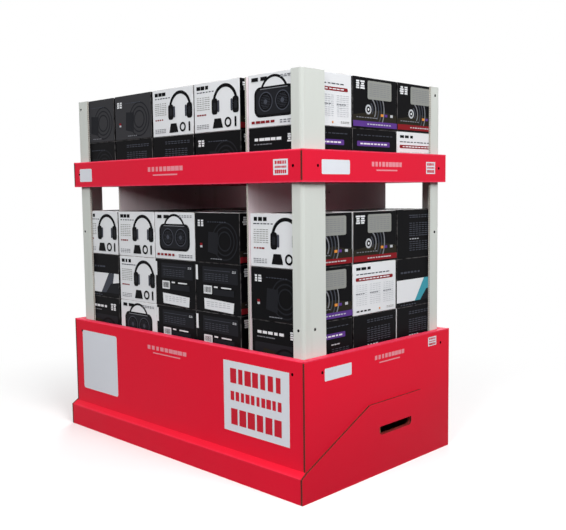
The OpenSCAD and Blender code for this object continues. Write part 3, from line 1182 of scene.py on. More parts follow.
class Face:
    """One flat face that is printed on.

    Places are shares of its width and height from its lower left corner, radii are shares of its height.
    """

    ARC_STEPS = 28
    CORNER_STEPS = 5
    HALF_TURN = 180

    def __init__(self, run: PrintRun, side: Side, corner: Vector, spans: Point) -> None:
        """Takes the face's place.

        Args:
            run: The print that the shapes go into.
            side: Which way the face looks.
            corner: Its lower left corner, seen from outside.
            spans: Its width and height.
        """
        self.run, self.side, self.corner = run, side, corner
        self.width, self.height = spans
        self.layer = 0

    def _lay(self, outline: list[Point], ink: Ink, same_layer: bool = False) -> None:
        """Adds one outline over what is there.

        Args:
            outline: Its points, in metres on the face.
            ink: Its ink.
            same_layer: True if it lies beside the last one and not over it.
        """
        if not same_layer:
            self.layer += 1
        lift = self.side.out * (INK_LIFT + INK_LAYER * self.layer)
        points = [self.corner + self.side.right * x + self.side.up * y + lift for x, y in outline]
        self.run.shapes.append((points, ink))

    def shape(self, outline: list[Point], ink: Ink) -> None:
        """A plain outline of points in shares of the face."""
        self._lay([(x * self.width, y * self.height) for x, y in outline], ink)

    def bar(
        self, left: float, low: float, right: float, high: float, ink: Ink, round_by: float = 0.0
    ) -> None:
        """A rectangle.

        Args:
            left: Its left edge.
            low: Its lower edge.
            right: Its right edge.
            high: Its upper edge.
            ink: Its ink.
            round_by: Radius of its corners.
        """
        x0, x1, y0, y1 = left * self.width, right * self.width, low * self.height, high * self.height
        radius = min(round_by * self.height, (x1 - x0) / 2, (y1 - y0) / 2)
        if radius <= 0:
            self._lay([(x0, y0), (x1, y0), (x1, y1), (x0, y1)], ink)
            return
        outline = []
        centres = (
            (x1 - radius, y0 + radius),
            (x1 - radius, y1 - radius),
            (x0 + radius, y1 - radius),
            (x0 + radius, y0 + radius),
        )
        for quarter, (cx, cy) in enumerate(centres):
            for i in range(self.CORNER_STEPS + 1):
                angle = math.pi / 2 * (quarter - 1 + i / self.CORNER_STEPS)
                outline.append((cx + radius * math.cos(angle), cy + radius * math.sin(angle)))
        self._lay(outline, ink)

    def arc(self, at: Point, outer: float, inner: float, start: float, end: float, ink: Ink) -> None:
        """A curved band.

        Args:
            at: Its centre.
            outer: Its outer radius.
            inner: Its inner radius.
            start: The angle where it starts, in degrees.
            end: The angle where it ends, in degrees.
            ink: Its ink.
        """
        cx, cy = at[0] * self.width, at[1] * self.height
        steps = max(2, round(self.ARC_STEPS * (end - start) / self.HALF_TURN))
        angles = [math.radians(start + (end - start) * i / steps) for i in range(steps + 1)]
        around = [(outer * self.height, angles), (inner * self.height, angles[::-1])]
        self._lay([(cx + r * math.cos(a), cy + r * math.sin(a)) for r, way in around for a in way], ink)

    def ring(self, at: Point, outer: float, inner: float, ink: Ink) -> None:
        """A closed band, in two halves."""
        self.arc(at, outer, inner, 0, self.HALF_TURN, ink)
        self.arc(at, outer, inner, self.HALF_TURN, 2 * self.HALF_TURN, ink)

    def disc(self, at: Point, radius: float, ink: Ink) -> None:
        """A filled circle.

        Args:
            at: Its centre.
            radius: Its radius.
            ink: Its ink.
        """
        cx, cy = at[0] * self.width, at[1] * self.height
        reach = radius * self.height
        turns = [math.tau * i / self.ARC_STEPS for i in range(self.ARC_STEPS)]
        self._lay([(cx + reach * math.cos(a), cy + reach * math.sin(a)) for a in turns], ink)

    def _stamp(self, mesh: bpy.types.Mesh, at: Point, ink: Ink) -> None:
        """Lays each face of a repeated pattern.

        Args:
            mesh: The pattern.
            at: Where its middle goes.
            ink: Its ink.
        """
        cx, cy = at[0] * self.width, at[1] * self.height
        self.layer += 1
        for polygon in mesh.polygons:
            points = [mesh.vertices[i].co for i in polygon.vertices]
            self._lay([(cx + p.x, cy + p.y) for p in points], ink, same_layer=True)
        bpy.data.meshes.remove(mesh)

    def words(
        self,
        left: float,
        low: float,
        right: float,
        high: float,
        rows: int,
        words: int,
        ink: Ink,
        weight: float = 0.5,
    ) -> None:
        """Rows of small print in a rectangle.

        Args:
            left: The rectangle's left edge.
            low: Its lower edge.
            right: Its right edge.
            high: Its upper edge.
            rows: How many rows there are.
            words: How many short bars a row has.
            ink: Their ink.
            weight: How tall a bar is, as a share of its row.
        """
        press = self.run.press
        mesh = press.words.mesh(
            press.inks[ink],
            Width=(right - left) * self.width,
            Height=(high - low) * self.height,
            Rows=rows,
            Words=words,
            Weight=weight,
            Seed=len(self.run.shapes),
        )
        self._stamp(mesh, ((left + right) / 2, (low + high) / 2), ink)

    def code(self, left: float, low: float, right: float, high: float, bars: int, ink: Ink) -> None:
        """Upright stock code bars in a rectangle.

        Args:
            left: The rectangle's left edge.
            low: Its lower edge.
            right: Its right edge.
            high: Its upper edge.
            bars: How many bars there are.
            ink: Their ink.
        """
        press = self.run.press
        mesh = press.bars.mesh(
            press.inks[ink],
            Width=(right - left) * self.width,
            Height=(high - low) * self.height,
            Bars=bars,
            Seed=len(self.run.shapes),
        )
        self._stamp(mesh, ((left + right) / 2, (low + high) / 2), ink)

    def grille(self, at: Point, radius: float, count: int, dot: float, ink: Ink) -> None:
        """A round field of dots.

        Args:
            at: Its centre.
            radius: Its radius.
            count: How many dots there are across it.
            dot: Radius of a dot.
            ink: Their ink.
        """
        press = self.run.press
        mesh = press.dots.mesh(
            press.inks[ink], Radius=radius * self.height, Count=count, Dot=dot * self.height
        )
        self._stamp(mesh, at, ink)


class Design(Enum):
    """Designs of the cartons' faces; each value starts with the colour of the sheet."""

    SPEAKER = "white speaker"
    CONTENTS = "white contents"
    FACTS = "white facts"
    NIGHT = "black night"
    DUSK = "black dusk"
    STRIPE = "black stripe"
    UNDERSIDE = "black underside"
    WAVES_PURPLE = "black purple waves"
    WAVES_RED = "black red waves"
    BANNER = "black banner"
    SMALL_PRINT = "black small print"
    HALVES_TEAL = "black halves with teal"
    HALVES_GREY = "black halves with grey"

    @property
    def white(self) -> bool:
        """True if the sheet under the print is white."""
        return self.value.startswith("white")


class CartonArt:
    """Draws the designs on carton faces: plain product prints made of fields, bars, arcs and dots."""

    def __init__(self) -> None:
        """Lists what draws each design."""
        self.hands: dict[Design, Callable[[Face], None]] = {
            Design.SPEAKER: self.speaker,
            Design.CONTENTS: self.contents,
            Design.FACTS: self.facts,
            Design.NIGHT: self.night,
            Design.DUSK: self.dusk,
            Design.STRIPE: self.stripe,
            Design.UNDERSIDE: self.underside,
            Design.WAVES_PURPLE: lambda face: self.waves(face, Ink.PURPLE),
            Design.WAVES_RED: lambda face: self.waves(face, Ink.CRIMSON),
            Design.BANNER: self.banner,
            Design.SMALL_PRINT: self.small_print,
            Design.HALVES_TEAL: lambda face: self.halves(face, Ink.TEAL),
            Design.HALVES_GREY: lambda face: self.halves(face, Ink.SLATE),
        }

    def draw(self, design: Design, face: Face) -> None:
        """Draws one design on one face."""
        self.hands[design](face)

    @staticmethod
    def speaker(face: Face) -> None:
        """White sheet: a dark rounded speaker with two grilles and a handle.

        Args:
            face: The face that is drawn on.
        """
        face.arc((0.5, 0.58), 0.38, 0.33, 25, 155, Ink.BLACK)
        face.bar(0.12, 0.185, 0.88, 0.75, Ink.BLACK, 0.15)
        face.bar(0.16, 0.235, 0.84, 0.70, Ink.CHARCOAL, 0.11)
        for x in (0.34, 0.66):
            face.ring((x, 0.47), 0.185, 0.165, Ink.SLATE)
            face.disc((x, 0.47), 0.165, Ink.BLACK)
            face.grille((x, 0.47), 0.145, 11, 0.008, Ink.SLATE)
            face.disc((x, 0.47), 0.045, Ink.SLATE)
        face.bar(0.24, 0.70, 0.76, 0.715, Ink.GREY, 0.01)
        face.words(0.05, 0.86, 0.40, 0.94, 1, 2, Ink.BLACK, 0.9)
        face.words(0.62, 0.88, 0.95, 0.94, 2, 5, Ink.GREY)
        face.words(0.05, 0.06, 0.52, 0.14, 1, 5, Ink.CRIMSON, 0.6)
        face.words(0.60, 0.05, 0.95, 0.13, 2, 5, Ink.GREY)

    @staticmethod
    def contents(face: Face) -> None:
        """White sheet: a headset with its pouch, cable and remote, beside lines of captions.

        Args:
            face: The face that is drawn on.
        """
        face.words(0.06, 0.85, 0.34, 0.94, 1, 3, Ink.BLACK, 0.85)
        face.words(0.06, 0.79, 0.46, 0.825, 1, 6, Ink.SLATE, 0.6)
        face.words(0.06, 0.44, 0.36, 0.72, 7, 5, Ink.ASH, 0.35)
        face.words(0.06, 0.33, 0.28, 0.38, 1, 4, Ink.CRIMSON, 0.6)
        face.arc((0.69, 0.56), 0.37, 0.30, 0, 180, Ink.BLACK)
        for left in (0.40, 0.85):
            face.bar(left, 0.34, left + 0.13, 0.66, Ink.BLACK, 0.06)
            face.bar(left + 0.035, 0.42, left + 0.095, 0.58, Ink.CHARCOAL, 0.04)
        face.bar(0.53, 0.38, 0.57, 0.62, Ink.SLATE, 0.03)
        face.bar(0.81, 0.38, 0.85, 0.62, Ink.SLATE, 0.03)
        face.shape([(0.42, 0.07), (0.64, 0.07), (0.60, 0.26), (0.46, 0.26)], Ink.BLACK)
        face.ring((0.75, 0.17), 0.10, 0.06, Ink.BLACK)
        face.bar(0.89, 0.07, 0.93, 0.27, Ink.BLACK, 0.02)
        face.words(0.06, 0.07, 0.34, 0.17, 3, 5, Ink.GREY, 0.4)

    @staticmethod
    def facts(face: Face) -> None:
        """White sheet: heading, dark red banner and columns of fine print.

        Args:
            face: The face that is drawn on.
        """
        face.words(0.06, 0.86, 0.42, 0.94, 1, 3, Ink.BLACK, 0.7)
        face.words(0.06, 0.775, 0.84, 0.81, 1, 9, Ink.SLATE, 0.6)
        face.bar(0.06, 0.66, 0.92, 0.73, Ink.CRIMSON, 0.03)
        face.words(0.12, 0.68, 0.84, 0.71, 1, 9, Ink.PAPER, 0.7)
        for left in (0.06, 0.37, 0.68):
            face.words(left, 0.18, left + 0.26, 0.60, 11, 4, Ink.SILVER, 0.24)
            face.words(left, 0.40, left + 0.20, 0.43, 1, 4, Ink.GREY, 0.6)
        face.words(0.06, 0.06, 0.40, 0.10, 1, 4, Ink.BLACK, 0.7)
        face.disc((0.60, 0.08), 0.022, Ink.AMBER)
        face.words(0.76, 0.06, 0.94, 0.11, 2, 4, Ink.ASH, 0.4)

    @staticmethod
    def night(face: Face) -> None:
        """Near-black sheet: a dim box and rings, a mark of small pale bars and a line of print.

        Args:
            face: The face that is drawn on.
        """
        face.shape([(0.30, 0.22), (0.52, 0.16), (0.54, 0.60), (0.32, 0.62)], Ink.CHARCOAL)
        for reach in (0.38, 0.29, 0.20):
            face.ring((0.68, 0.44), reach, reach - 0.03, Ink.CHARCOAL)
        face.words(0.07, 0.72, 0.22, 0.86, 3, 2, Ink.PAPER, 0.75)
        face.words(0.30, 0.80, 0.72, 0.83, 1, 8, Ink.SLATE, 0.5)
        face.bar(0.13, 0.30, 0.18, 0.34, Ink.SILVER)
        face.bar(0.13, 0.34, 0.18, 0.39, Ink.CRIMSON)
        face.words(0.36, 0.07, 0.62, 0.10, 1, 5, Ink.GREY, 0.6)

    @staticmethod
    def dusk(face: Face) -> None:
        """The near-black design on a duller, paler sheet."""
        face.bar(0.012, 0.012, 0.988, 0.988, Ink.SOOT)
        CartonArt.night(face)

    @staticmethod
    def stripe(face: Face) -> None:
        """Near-black sheet: pale lines of large print over a dim picture with warm lights.

        Args:
            face: The face that is drawn on.
        """
        face.bar(0.06, 0.05, 0.94, 0.58, Ink.CHARCOAL, 0.03)
        face.shape([(0.10, 0.05), (0.62, 0.05), (0.46, 0.44), (0.24, 0.48)], Ink.OLIVE)
        face.arc((0.66, 0.18), 0.34, 0.30, 20, 160, Ink.BLACK)
        face.words(0.10, 0.74, 0.64, 0.81, 1, 5, Ink.PAPER, 0.75)
        face.words(0.10, 0.67, 0.46, 0.70, 1, 6, Ink.GREY, 0.6)
        face.words(0.74, 0.70, 0.90, 0.86, 4, 2, Ink.PAPER, 0.75)
        face.words(0.20, 0.20, 0.44, 0.28, 2, 4, Ink.AMBER, 0.2)
        face.words(0.58, 0.10, 0.88, 0.24, 4, 6, Ink.SLATE, 0.4)

    @staticmethod
    def underside(face: Face) -> None:
        """Black sheet: a ruled panel, a stock code, small bars, a white label and a white edge.

        Args:
            face: The face that is drawn on.
        """
        face.bar(0.0, 0.64, 0.05, 0.94, Ink.PAPER)
        face.bar(0.16, 0.60, 0.94, 0.92, Ink.CHARCOAL, 0.02)
        face.bar(0.19, 0.845, 0.78, 0.855, Ink.SLATE)
        face.words(0.20, 0.64, 0.74, 0.80, 4, 7, Ink.SLATE, 0.3)
        face.words(0.82, 0.82, 0.91, 0.87, 2, 2, Ink.SILVER, 0.6)
        face.bar(0.18, 0.37, 0.37, 0.54, Ink.PAPER, 0.01)
        face.code(0.20, 0.40, 0.35, 0.51, 18, Ink.BLACK)
        face.bar(0.42, 0.505, 0.50, 0.535, Ink.PAPER)
        face.bar(0.58, 0.505, 0.80, 0.53, Ink.PAPER)
        face.bar(0.40, 0.36, 0.86, 0.48, Ink.CHARCOAL)
        face.shape([(0.20, 0.06), (0.84, 0.03), (0.86, 0.24), (0.19, 0.28)], Ink.PAPER)
        face.words(0.24, 0.11, 0.78, 0.23, 3, 6, Ink.SILVER, 0.4)

    @staticmethod
    def waves(face: Face, band: Ink) -> None:
        """Black sheet: sound waves from a pale disc over dim ground, a grey panel and a coloured band.

        Args:
            face: The face that is drawn on.
            band: Ink of the band.
        """
        face.shape([(0.0, 0.15), (1.0, 0.15), (1.0, 0.30), (0.60, 0.38), (0.0, 0.26)], Ink.OLIVE)
        for i in range(5):
            reach = 0.16 + 0.09 * i
            face.arc((0.34, 0.38), reach, reach - 0.028, -34, 58, Ink.GREY if i % 3 == 1 else Ink.SLATE)
        face.disc((0.34, 0.38), 0.095, Ink.SILVER)
        face.disc((0.34, 0.38), 0.06, Ink.BLACK)
        face.disc((0.34, 0.38), 0.025, Ink.PAPER)
        face.words(0.05, 0.76, 0.26, 0.93, 4, 2, Ink.PAPER, 0.75)
        face.bar(0.32, 0.58, 0.87, 0.94, Ink.ASH, 0.04)
        face.words(0.36, 0.63, 0.83, 0.90, 7, 6, Ink.GREY, 0.3)
        for left, ink in ((0.62, Ink.AMBER), (0.71, Ink.PURPLE), (0.84, Ink.SILVER)):
            face.bar(left, 0.26, left + 0.06, 0.31, ink)
        face.words(0.06, 0.20, 0.54, 0.24, 1, 8, Ink.GREY, 0.4)
        face.bar(0.0, 0.04, 1.0, 0.15, band)
        face.words(0.30, 0.08, 0.86, 0.11, 1, 9, Ink.SILVER, 0.7)

    @staticmethod
    def banner(face: Face) -> None:
        """Black sheet: purple banner over columns of grey print.

        Args:
            face: The face that is drawn on.
        """
        face.words(0.08, 0.86, 0.92, 0.89, 1, 10, Ink.SLATE, 0.5)
        face.bar(0.10, 0.66, 0.84, 0.76, Ink.PURPLE, 0.02)
        face.words(0.16, 0.69, 0.78, 0.73, 1, 8, Ink.PAPER, 0.7)
        for left in (0.08, 0.54):
            face.words(left, 0.53, left + 0.18, 0.56, 1, 3, Ink.SILVER, 0.7)
            face.words(left, 0.12, left + 0.38, 0.48, 9, 5, Ink.SLATE, 0.35)

    @staticmethod
    def small_print(face: Face) -> None:
        """Black sheet: blocks of dark grey print.

        Args:
            face: The face that is drawn on.
        """
        face.words(0.30, 0.82, 0.92, 0.90, 2, 8, Ink.SLATE, 0.4)
        face.words(0.30, 0.44, 0.86, 0.74, 7, 7, Ink.SLATE, 0.35)
        face.words(0.30, 0.14, 0.78, 0.36, 5, 6, Ink.SLATE, 0.35)
        face.words(0.30, 0.38, 0.56, 0.41, 1, 4, Ink.SILVER, 0.6)

    @staticmethod
    def halves(face: Face, wedge: Ink) -> None:
        """Black sheet over a pale lower half with a coloured wedge and a dark corner.

        Args:
            face: The face that is drawn on.
            wedge: Ink of the wedge.
        """
        face.bar(0.0, 0.10, 1.0, 0.56, Ink.PAPER)
        face.shape([(0.46, 0.10), (0.78, 0.10), (0.86, 0.56), (0.70, 0.56)], wedge)
        face.shape([(0.60, 0.10), (1.0, 0.10), (1.0, 0.36), (0.76, 0.32)], Ink.CHARCOAL)
        face.words(0.08, 0.68, 0.60, 0.74, 1, 6, Ink.SLATE, 0.6)
        face.words(0.08, 0.02, 0.50, 0.06, 1, 6, Ink.SLATE, 0.6)


def solids_of(node: str) -> list[Block]:
    """Finds the boxes of the separate solids in one CAD node.

    Args:
        node: The node's name.

    Returns:
        The boxes, from left to right.
    """
    work = bmesh.new()
    work.from_mesh(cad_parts[node].data)
    bmesh.ops.remove_doubles(work, verts=work.verts, dist=MERGE_REACH)
    left = set(work.verts)
    found = []
    while left:
        group, edge = set(), [left.pop()]
        while edge:
            vertex = edge.pop()
            group.add(vertex)
            near = {e.other_vert(vertex) for e in vertex.link_edges} & left
            left -= near
            edge.extend(near)
        columns = list(zip(*[v.co for v in group]))
        found.append(Block(Vector(map(min, columns)), Vector(map(max, columns))))
    work.free()
    return sorted(found, key=lambda block: block.low.x)


def add_piece(name: str, mesh: bpy.types.Mesh) -> bpy.types.Object:
    """Puts a finished mesh in the scene as a piece that rides on the part.

    Args:
        name: The piece's name.
        mesh: Its mesh, with its place in its vertices.

    Returns:
        The piece.
    """
    piece = bpy.data.objects.new(name, mesh)
    bpy.context.scene.collection.objects.link(piece)
    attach(piece, BODY)
    log.info("%s: %d faces", name, len(mesh.polygons))
    return piece


def dress(nodes: list[str], material: bpy.types.Material) -> None:
    """Gives CAD nodes a finish.

    Args:
        nodes: Names of the nodes.
        material: The finish.
    """
    for name in nodes:
        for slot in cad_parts[name].material_slots:
            slot.material = material
    log.info("%s on %d nodes", material.name, len(nodes))


@dataclass
class RedPrint:
    """Print of a red panel: a white patch, a short underlined title, and a white sign or stamp.

    Places are left, right, low and high, in metres from the part's middle and the floor.
    What is on them is in shares of them: each line of the sign is a count of blocks and a height.
    """

    patch: Place
    title: Place
    sign: Place
    round_by: float = 0.008
    title_blocks: int = 9
    title_weight: float = 0.8
    title_low: float = 0.48
    title_high: float = 0.98
    rule_inset: float = 0.16
    rule_low: float = 0.16
    rule_high: float = 0.28
    sign_lines: tuple[tuple[int, float], ...] = ((7, 0.21), (10, 0.13), (6, 0.23))
    sign_margin: float = 0.10
    sign_space: float = 0.115

    def draw(self, run: PrintRun, side: Side, block: Block) -> None:
        """Draws the print on one face of a box.

        Args:
            run: The print that the shapes go into.
            side: Which face of the box.
            block: The box.
        """
        self._panel(run, side, block, self.patch, self.round_by)
        title = self._field(run, side, block, self.title)
        title.words(
            0.0, self.title_low, 1.0, self.title_high, 1, self.title_blocks, Ink.BLUSH, self.title_weight
        )
        title.bar(self.rule_inset, self.rule_low, 1.0 - self.rule_inset, self.rule_high, Ink.BLUSH)
        sign = self._panel(run, side, block, self.sign, 0.0)
        left, right = self.sign_margin, 1.0 - self.sign_margin
        high = right
        for blocks, share in self.sign_lines:
            sign.words(left, high - share, right, high, 1, blocks, Ink.RED, 1.0)
            high -= share + self.sign_space

    def _field(self, run: PrintRun, side: Side, block: Block, place: Place) -> Face:
        """A face of the size of one printed field.

        Args:
            run: The print that the shapes go into.
            side: Which face of the box.
            block: The box.
            place: The field's place.

        Returns:
            The face.
        """
        left, right, low, high = place
        plane = side.out * abs(side.corner(block).dot(side.out))
        corner = plane + side.right * left + side.up * low
        return Face(run, side, corner, (right - left, high - low))

    def _panel(self, run: PrintRun, side: Side, block: Block, place: Place, radius: float) -> Face:
        """A white panel, ready to be printed over.

        Args:
            run: The print that the shapes go into.
            side: Which face of the box.
            block: The box.
            place: The panel's place.
            radius: Radius of its corners, in metres.

        Returns:
            The panel's face.
        """
        face = self._field(run, side, block, place)
        face.bar(0.0, 0.0, 1.0, 1.0, Ink.PATCH, radius / face.height)
        return face


def print_round(
    name: str, press: Press, block: Block, long_print: RedPrint, end_print: RedPrint
) -> None:
    """Prints the four upright faces of a box, each as a piece of its own.

    Args:
        name: Start of the pieces' names.
        press: Inks and repeating trees.
        block: The box.
        long_print: Print of the front and the back.
        end_print: Print of the two ends.
    """
    for side in (Side.FRONT, Side.BACK, Side.RIGHT, Side.LEFT):
        run = PrintRun(f"{name}_{side.name.lower()}", press)
        design = long_print if side in (Side.FRONT, Side.BACK) else end_print
        design.draw(run, side, block)
        run.piece(Slot.RED)


@dataclass
class Sleeve:
    """Four red rolled walls round the foot, with their prints."""

    long_walls: list[str] = field(default_factory=lambda: ["wall_front", "wall_back"])
    end_walls: list[str] = field(default_factory=lambda: ["wall_right", "wall_left"])
    flap_gap: float = LAYER_GAP
    lip_height: float = 0.067
    # How strongly the painted highlight and the rubbed ink show on the lip's fold
    lip_wear_and_highlight: float = 0.4
    # Painted shade on the end walls, darker towards the floor
    end_painted_foot_shade: float = 0.2
    rivet_drop: float = 0.038
    long_print: RedPrint = field(
        default_factory=lambda: RedPrint(
            patch=(-0.490, -0.288, 0.130, 0.328),
            title=(-0.124, 0.070, 0.296, 0.326),
            sign=(0.230, 0.482, 0.132, 0.328),
        )
    )
    end_print: RedPrint = field(
        default_factory=lambda: RedPrint(
            patch=(-0.251, -0.143, 0.300, 0.333),
            title=(-0.045, 0.095, 0.306, 0.336),
            sign=(0.214, 0.257, 0.322, 0.349),
            round_by=0.003,
        )
    )

    def build(self, effects: Effects, press: Press) -> None:
        """Dresses the walls and prints them.

        Args:
            effects: The shared node groups.
            press: Inks and repeating trees.
        """
        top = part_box("wall_right")[1].z
        flap_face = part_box("wall_right")[1].x
        wall_face = flap_face - BOARD - self.flap_gap
        row = top - self.rivet_drop
        long_finish = RedBoard("red_long_walls", ((top, 1.0), (self.lip_height, self.lip_wear_and_highlight)), row)
        end_finish = RedBoard(
            "red_end_walls", ((top, 1.0),), row, cut_from=wall_face - BOARD, painted_foot_shade=self.end_painted_foot_shade
        )
        dress(self.long_walls, long_finish.material(effects))
        dress(self.end_walls, end_finish.material(effects))
        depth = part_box("wall_back")[1].y
        outer = Block(Vector((-wall_face, -depth, 0.0)), Vector((wall_face, depth, top)))
        print_round("print_wall", press, outer, self.long_print, self.end_print)


@dataclass
class ShelfTray:
    """The red tray that carries the upper tier, with its prints."""

    node: str = "shelf_tray"
    colour: Colour = srgb(220, 29, 56)
    long_print: RedPrint = field(
        default_factory=lambda: RedPrint(
            patch=(-0.489, -0.417, 0.826, 0.868),
            title=(-0.112, 0.060, 0.832, 0.866),
            sign=(0.424, 0.476, 0.828, 0.868),
            round_by=0.004,
        )
    )
    end_print: RedPrint = field(
        default_factory=lambda: RedPrint(
            patch=(-0.246, -0.135, 0.829, 0.866),
            title=(-0.045, 0.095, 0.834, 0.866),
            sign=(0.214, 0.260, 0.833, 0.868),
            round_by=0.004,
        )
    )

    def build(self, effects: Effects, press: Press) -> None:
        """Dresses the tray and prints it.

        Args:
            effects: The shared node groups.
            press: Inks and repeating trees.
        """
        low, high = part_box(self.node)
        # The tray's lower and upper folds take the painted highlight and the rubbed ink
        folds = ((low.z, 1.0), (high.z, 1.0))
        row = (low.z + high.z) / 2
        finish = RedBoard("red_shelf_tray", folds, row, cut_from=high.x - BOARD, colour=self.colour)
        dress([self.node], finish.material(effects))
        print_round("print_shelf", press, Block(low, high), self.long_print, self.end_print)


@dataclass
class WhiteFrame:
    """White posts at the corners and white dividers between the cartons."""

    posts: list[str] = field(
        default_factory=lambda: ["post_front_left", "post_front_right", "post_back_left", "post_back_right"]
    )
    dividers: list[str] = field(
        default_factory=lambda: [
            "divider_lower_left", "divider_lower_right", "divider_upper_left", "divider_upper_right"
        ]
    )
    # Lilac white: partly the dividers' own tone and partly painted red light bounced from the tray
    divider_colour_with_painted_bounce: Colour = srgb(222, 209, 213)

    def build(self, effects: Effects) -> None:
        """Dresses the posts and the dividers.

        Args:
            effects: The shared node groups.
        """
        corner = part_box("post_back_right")[1]
        dress(self.posts, WhiteBoard("white_posts", Sheet.POST, corner.x, corner.y).material(effects))
        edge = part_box("divider_lower_right")[1]
        panel = WhiteBoard("white_dividers", Sheet.DIVIDER, edge.x, edge.y, colour=self.divider_colour_with_painted_bounce)
        dress(self.dividers, panel.material(effects))


@dataclass
class Pallet:
    """The wooden half pallet and the pad on its deck."""

    lengthwise: list[str] = field(
        default_factory=lambda: ["stringer_front", "stringer_middle", "stringer_back"]
    )
    crosswise: list[str] = field(
        default_factory=lambda: [f"deck_board_{i}" for i in range(1, 8)]
        + [f"bottom_board_{place}" for place in ("left", "middle", "right")]
    )
    pad: str = "floor_pad"

    def build(self, effects: Effects) -> None:
        """Dresses the boards and the pad.

        Args:
            effects: The shared node groups.
        """
        dress(self.lengthwise, PalletWood("wood_stringers", Grain.ALONG_X).material(effects))
        dress(self.crosswise, PalletWood("wood_boards", Grain.ALONG_Y).material(effects))
        dress([self.pad], KraftBoard().material(effects))


@dataclass
class CartonStack:
    """Cartons of both tiers: bevelled boxes with a recessed lid, and a print on each face that shows."""

    black_rubbed: Colour = srgb(92, 90, 90)
    white_rubbed: Colour = srgb(176, 172, 168)
    bevel: float = 0.0022
    bevel_steps: int = 2
    # A point nearer than this to a face of the box lies in it and isn't rubbed
    flush: float = 0.00011
    # From this part of its normal a bevel takes the sheet colour of a side
    side_share: float = 0.3
    lid_margin: float = 0.006
    lid_step: float = 0.0009
    layers: list[str] = field(
        default_factory=lambda: [f"lower_{i}" for i in range(1, 5)] + [f"upper_{i}" for i in range(1, 3)]
    )
    front: dict[str, list[Design]] = field(
        default_factory=lambda: {
            "upper_2": [Design.DUSK, Design.DUSK, Design.CONTENTS, Design.CONTENTS, Design.SPEAKER],
            "upper_1": [Design.NIGHT, Design.SMALL_PRINT, Design.SMALL_PRINT, Design.NIGHT, Design.STRIPE],
            "lower_4": [Design.CONTENTS, Design.CONTENTS, Design.SPEAKER, Design.NIGHT, Design.CONTENTS],
            "lower_3": [
                Design.HALVES_GREY, Design.CONTENTS, Design.UNDERSIDE, Design.UNDERSIDE, Design.NIGHT
            ],
            "lower_2": [Design.STRIPE, Design.SPEAKER, Design.UNDERSIDE, Design.UNDERSIDE, Design.STRIPE],
            "lower_1": [Design.NIGHT, Design.CONTENTS, Design.NIGHT, Design.SPEAKER, Design.NIGHT],
        }
    )
    end: dict[str, list[Design]] = field(
        default_factory=lambda: {
            "upper_2": [Design.FACTS, Design.WAVES_PURPLE, Design.WAVES_RED],
            "upper_1": [Design.BANNER, Design.BANNER, Design.FACTS],
            "lower_4": [Design.WAVES_RED, Design.WAVES_RED, Design.SMALL_PRINT],
            "lower_3": [Design.WAVES_PURPLE, Design.FACTS, Design.HALVES_TEAL],
            "lower_2": [Design.BANNER, Design.SMALL_PRINT, Design.SMALL_PRINT],
            "lower_1": [Design.BANNER, Design.FACTS, Design.WAVES_RED],
        }
    )
    inner: Design = Design.WAVES_RED
    rows: tuple[str, str, str] = ("front", "middle", "back")
    white_lids: tuple[int, ...] = (0, 3, 4, 5)
    white_inside: tuple[str, ...] = ("lower_4_middle", "lower_2_back")

    def build(self, effects: Effects, press: Press) -> None:
        """Builds the boxes of every line of cartons, and their prints side by side.

        Args:
            effects: The shared node groups.
            press: Inks and repeating trees.
        """
        stocks = [
            CartonStock("black_carton", Ink.BLACK.linear, self.black_rubbed).material(effects),
            CartonStock("white_carton", Ink.PAPER.linear, self.white_rubbed).material(effects),
        ]
        art = CartonArt()
        runs = {
            (side, tier): PrintRun(f"print_{side.name.lower()}_{tier}", press)
            for side in Side
            for tier in ("lower", "upper")
        }
        for layer in self.layers:
            tier = layer.split("_")[0]
            for row in self.rows:
                node = f"cartons_{layer}_{row}"
                blocks = solids_of(node)
                shown = [self._shown(layer, row, column, len(blocks)) for column in range(len(blocks))]
                self._bodies(node, blocks, shown, stocks)
                for block, faces in zip(blocks, shown):
                    for side, design in faces.items():
                        face = Face(runs[side, tier], side, side.corner(block), side.spans(block))
                        art.draw(design, face)
        for run in runs.values():
            if run.shapes:
                run.piece(Slot.CARTON)

    def _shown(self, layer: str, row: str, column: int, columns: int) -> dict[Side, Design]:
        """Which faces of a carton show, and their designs.

        Args:
            layer: The carton's layer.
            row: Its row from front to back.
            column: Its place from left to right.
            columns: How many there are.

        Returns:
            Designs by side.
        """
        shown = {}
        depth = self.rows.index(row)
        if row == "front":
            shown[Side.FRONT] = self.front[layer][column]
        if row == "back":
            shown[Side.BACK] = self.front[layer][columns - 1 - column]
        if column == columns - 1:
            shown[Side.RIGHT] = self.end[layer][depth]
            if f"{layer}_{row}" in self.white_inside:
                shown[Side.FRONT] = Design.FACTS
        if column == columns - 2:
            shown[Side.RIGHT] = self.inner
        if column == 0:
            shown[Side.LEFT] = self.end[layer][len(self.rows) - 1 - depth]
        if layer in ("upper_2", "lower_4"):
            shown[Side.TOP] = Design.SPEAKER if column + depth in self.white_lids else Design.STRIPE
        return shown

    def _bodies(
        self,
        node: str,
        blocks: list[Block],
        shown: list[dict[Side, Design]],
        stocks: list[bpy.types.Material],
    ) -> None:
        """Builds one line of cartons as a piece that stands for its node.

        Args:
            node: The CAD node.
            blocks: The cartons' boxes.
            shown: Designs of each carton's faces.
            stocks: Black and white carton board.
        """
        work = bmesh.new()
        wear = work.verts.layers.float.new(EDGE_WEAR)
        for block, faces in zip(blocks, shown):
            self._carton(work, wear, block, faces)
        mesh = bpy.data.meshes.new("body_" + node)
        work.to_mesh(mesh)
        work.free()
        for stock in stocks:
            mesh.materials.append(stock)
        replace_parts(add_piece("body_" + node, mesh), node)

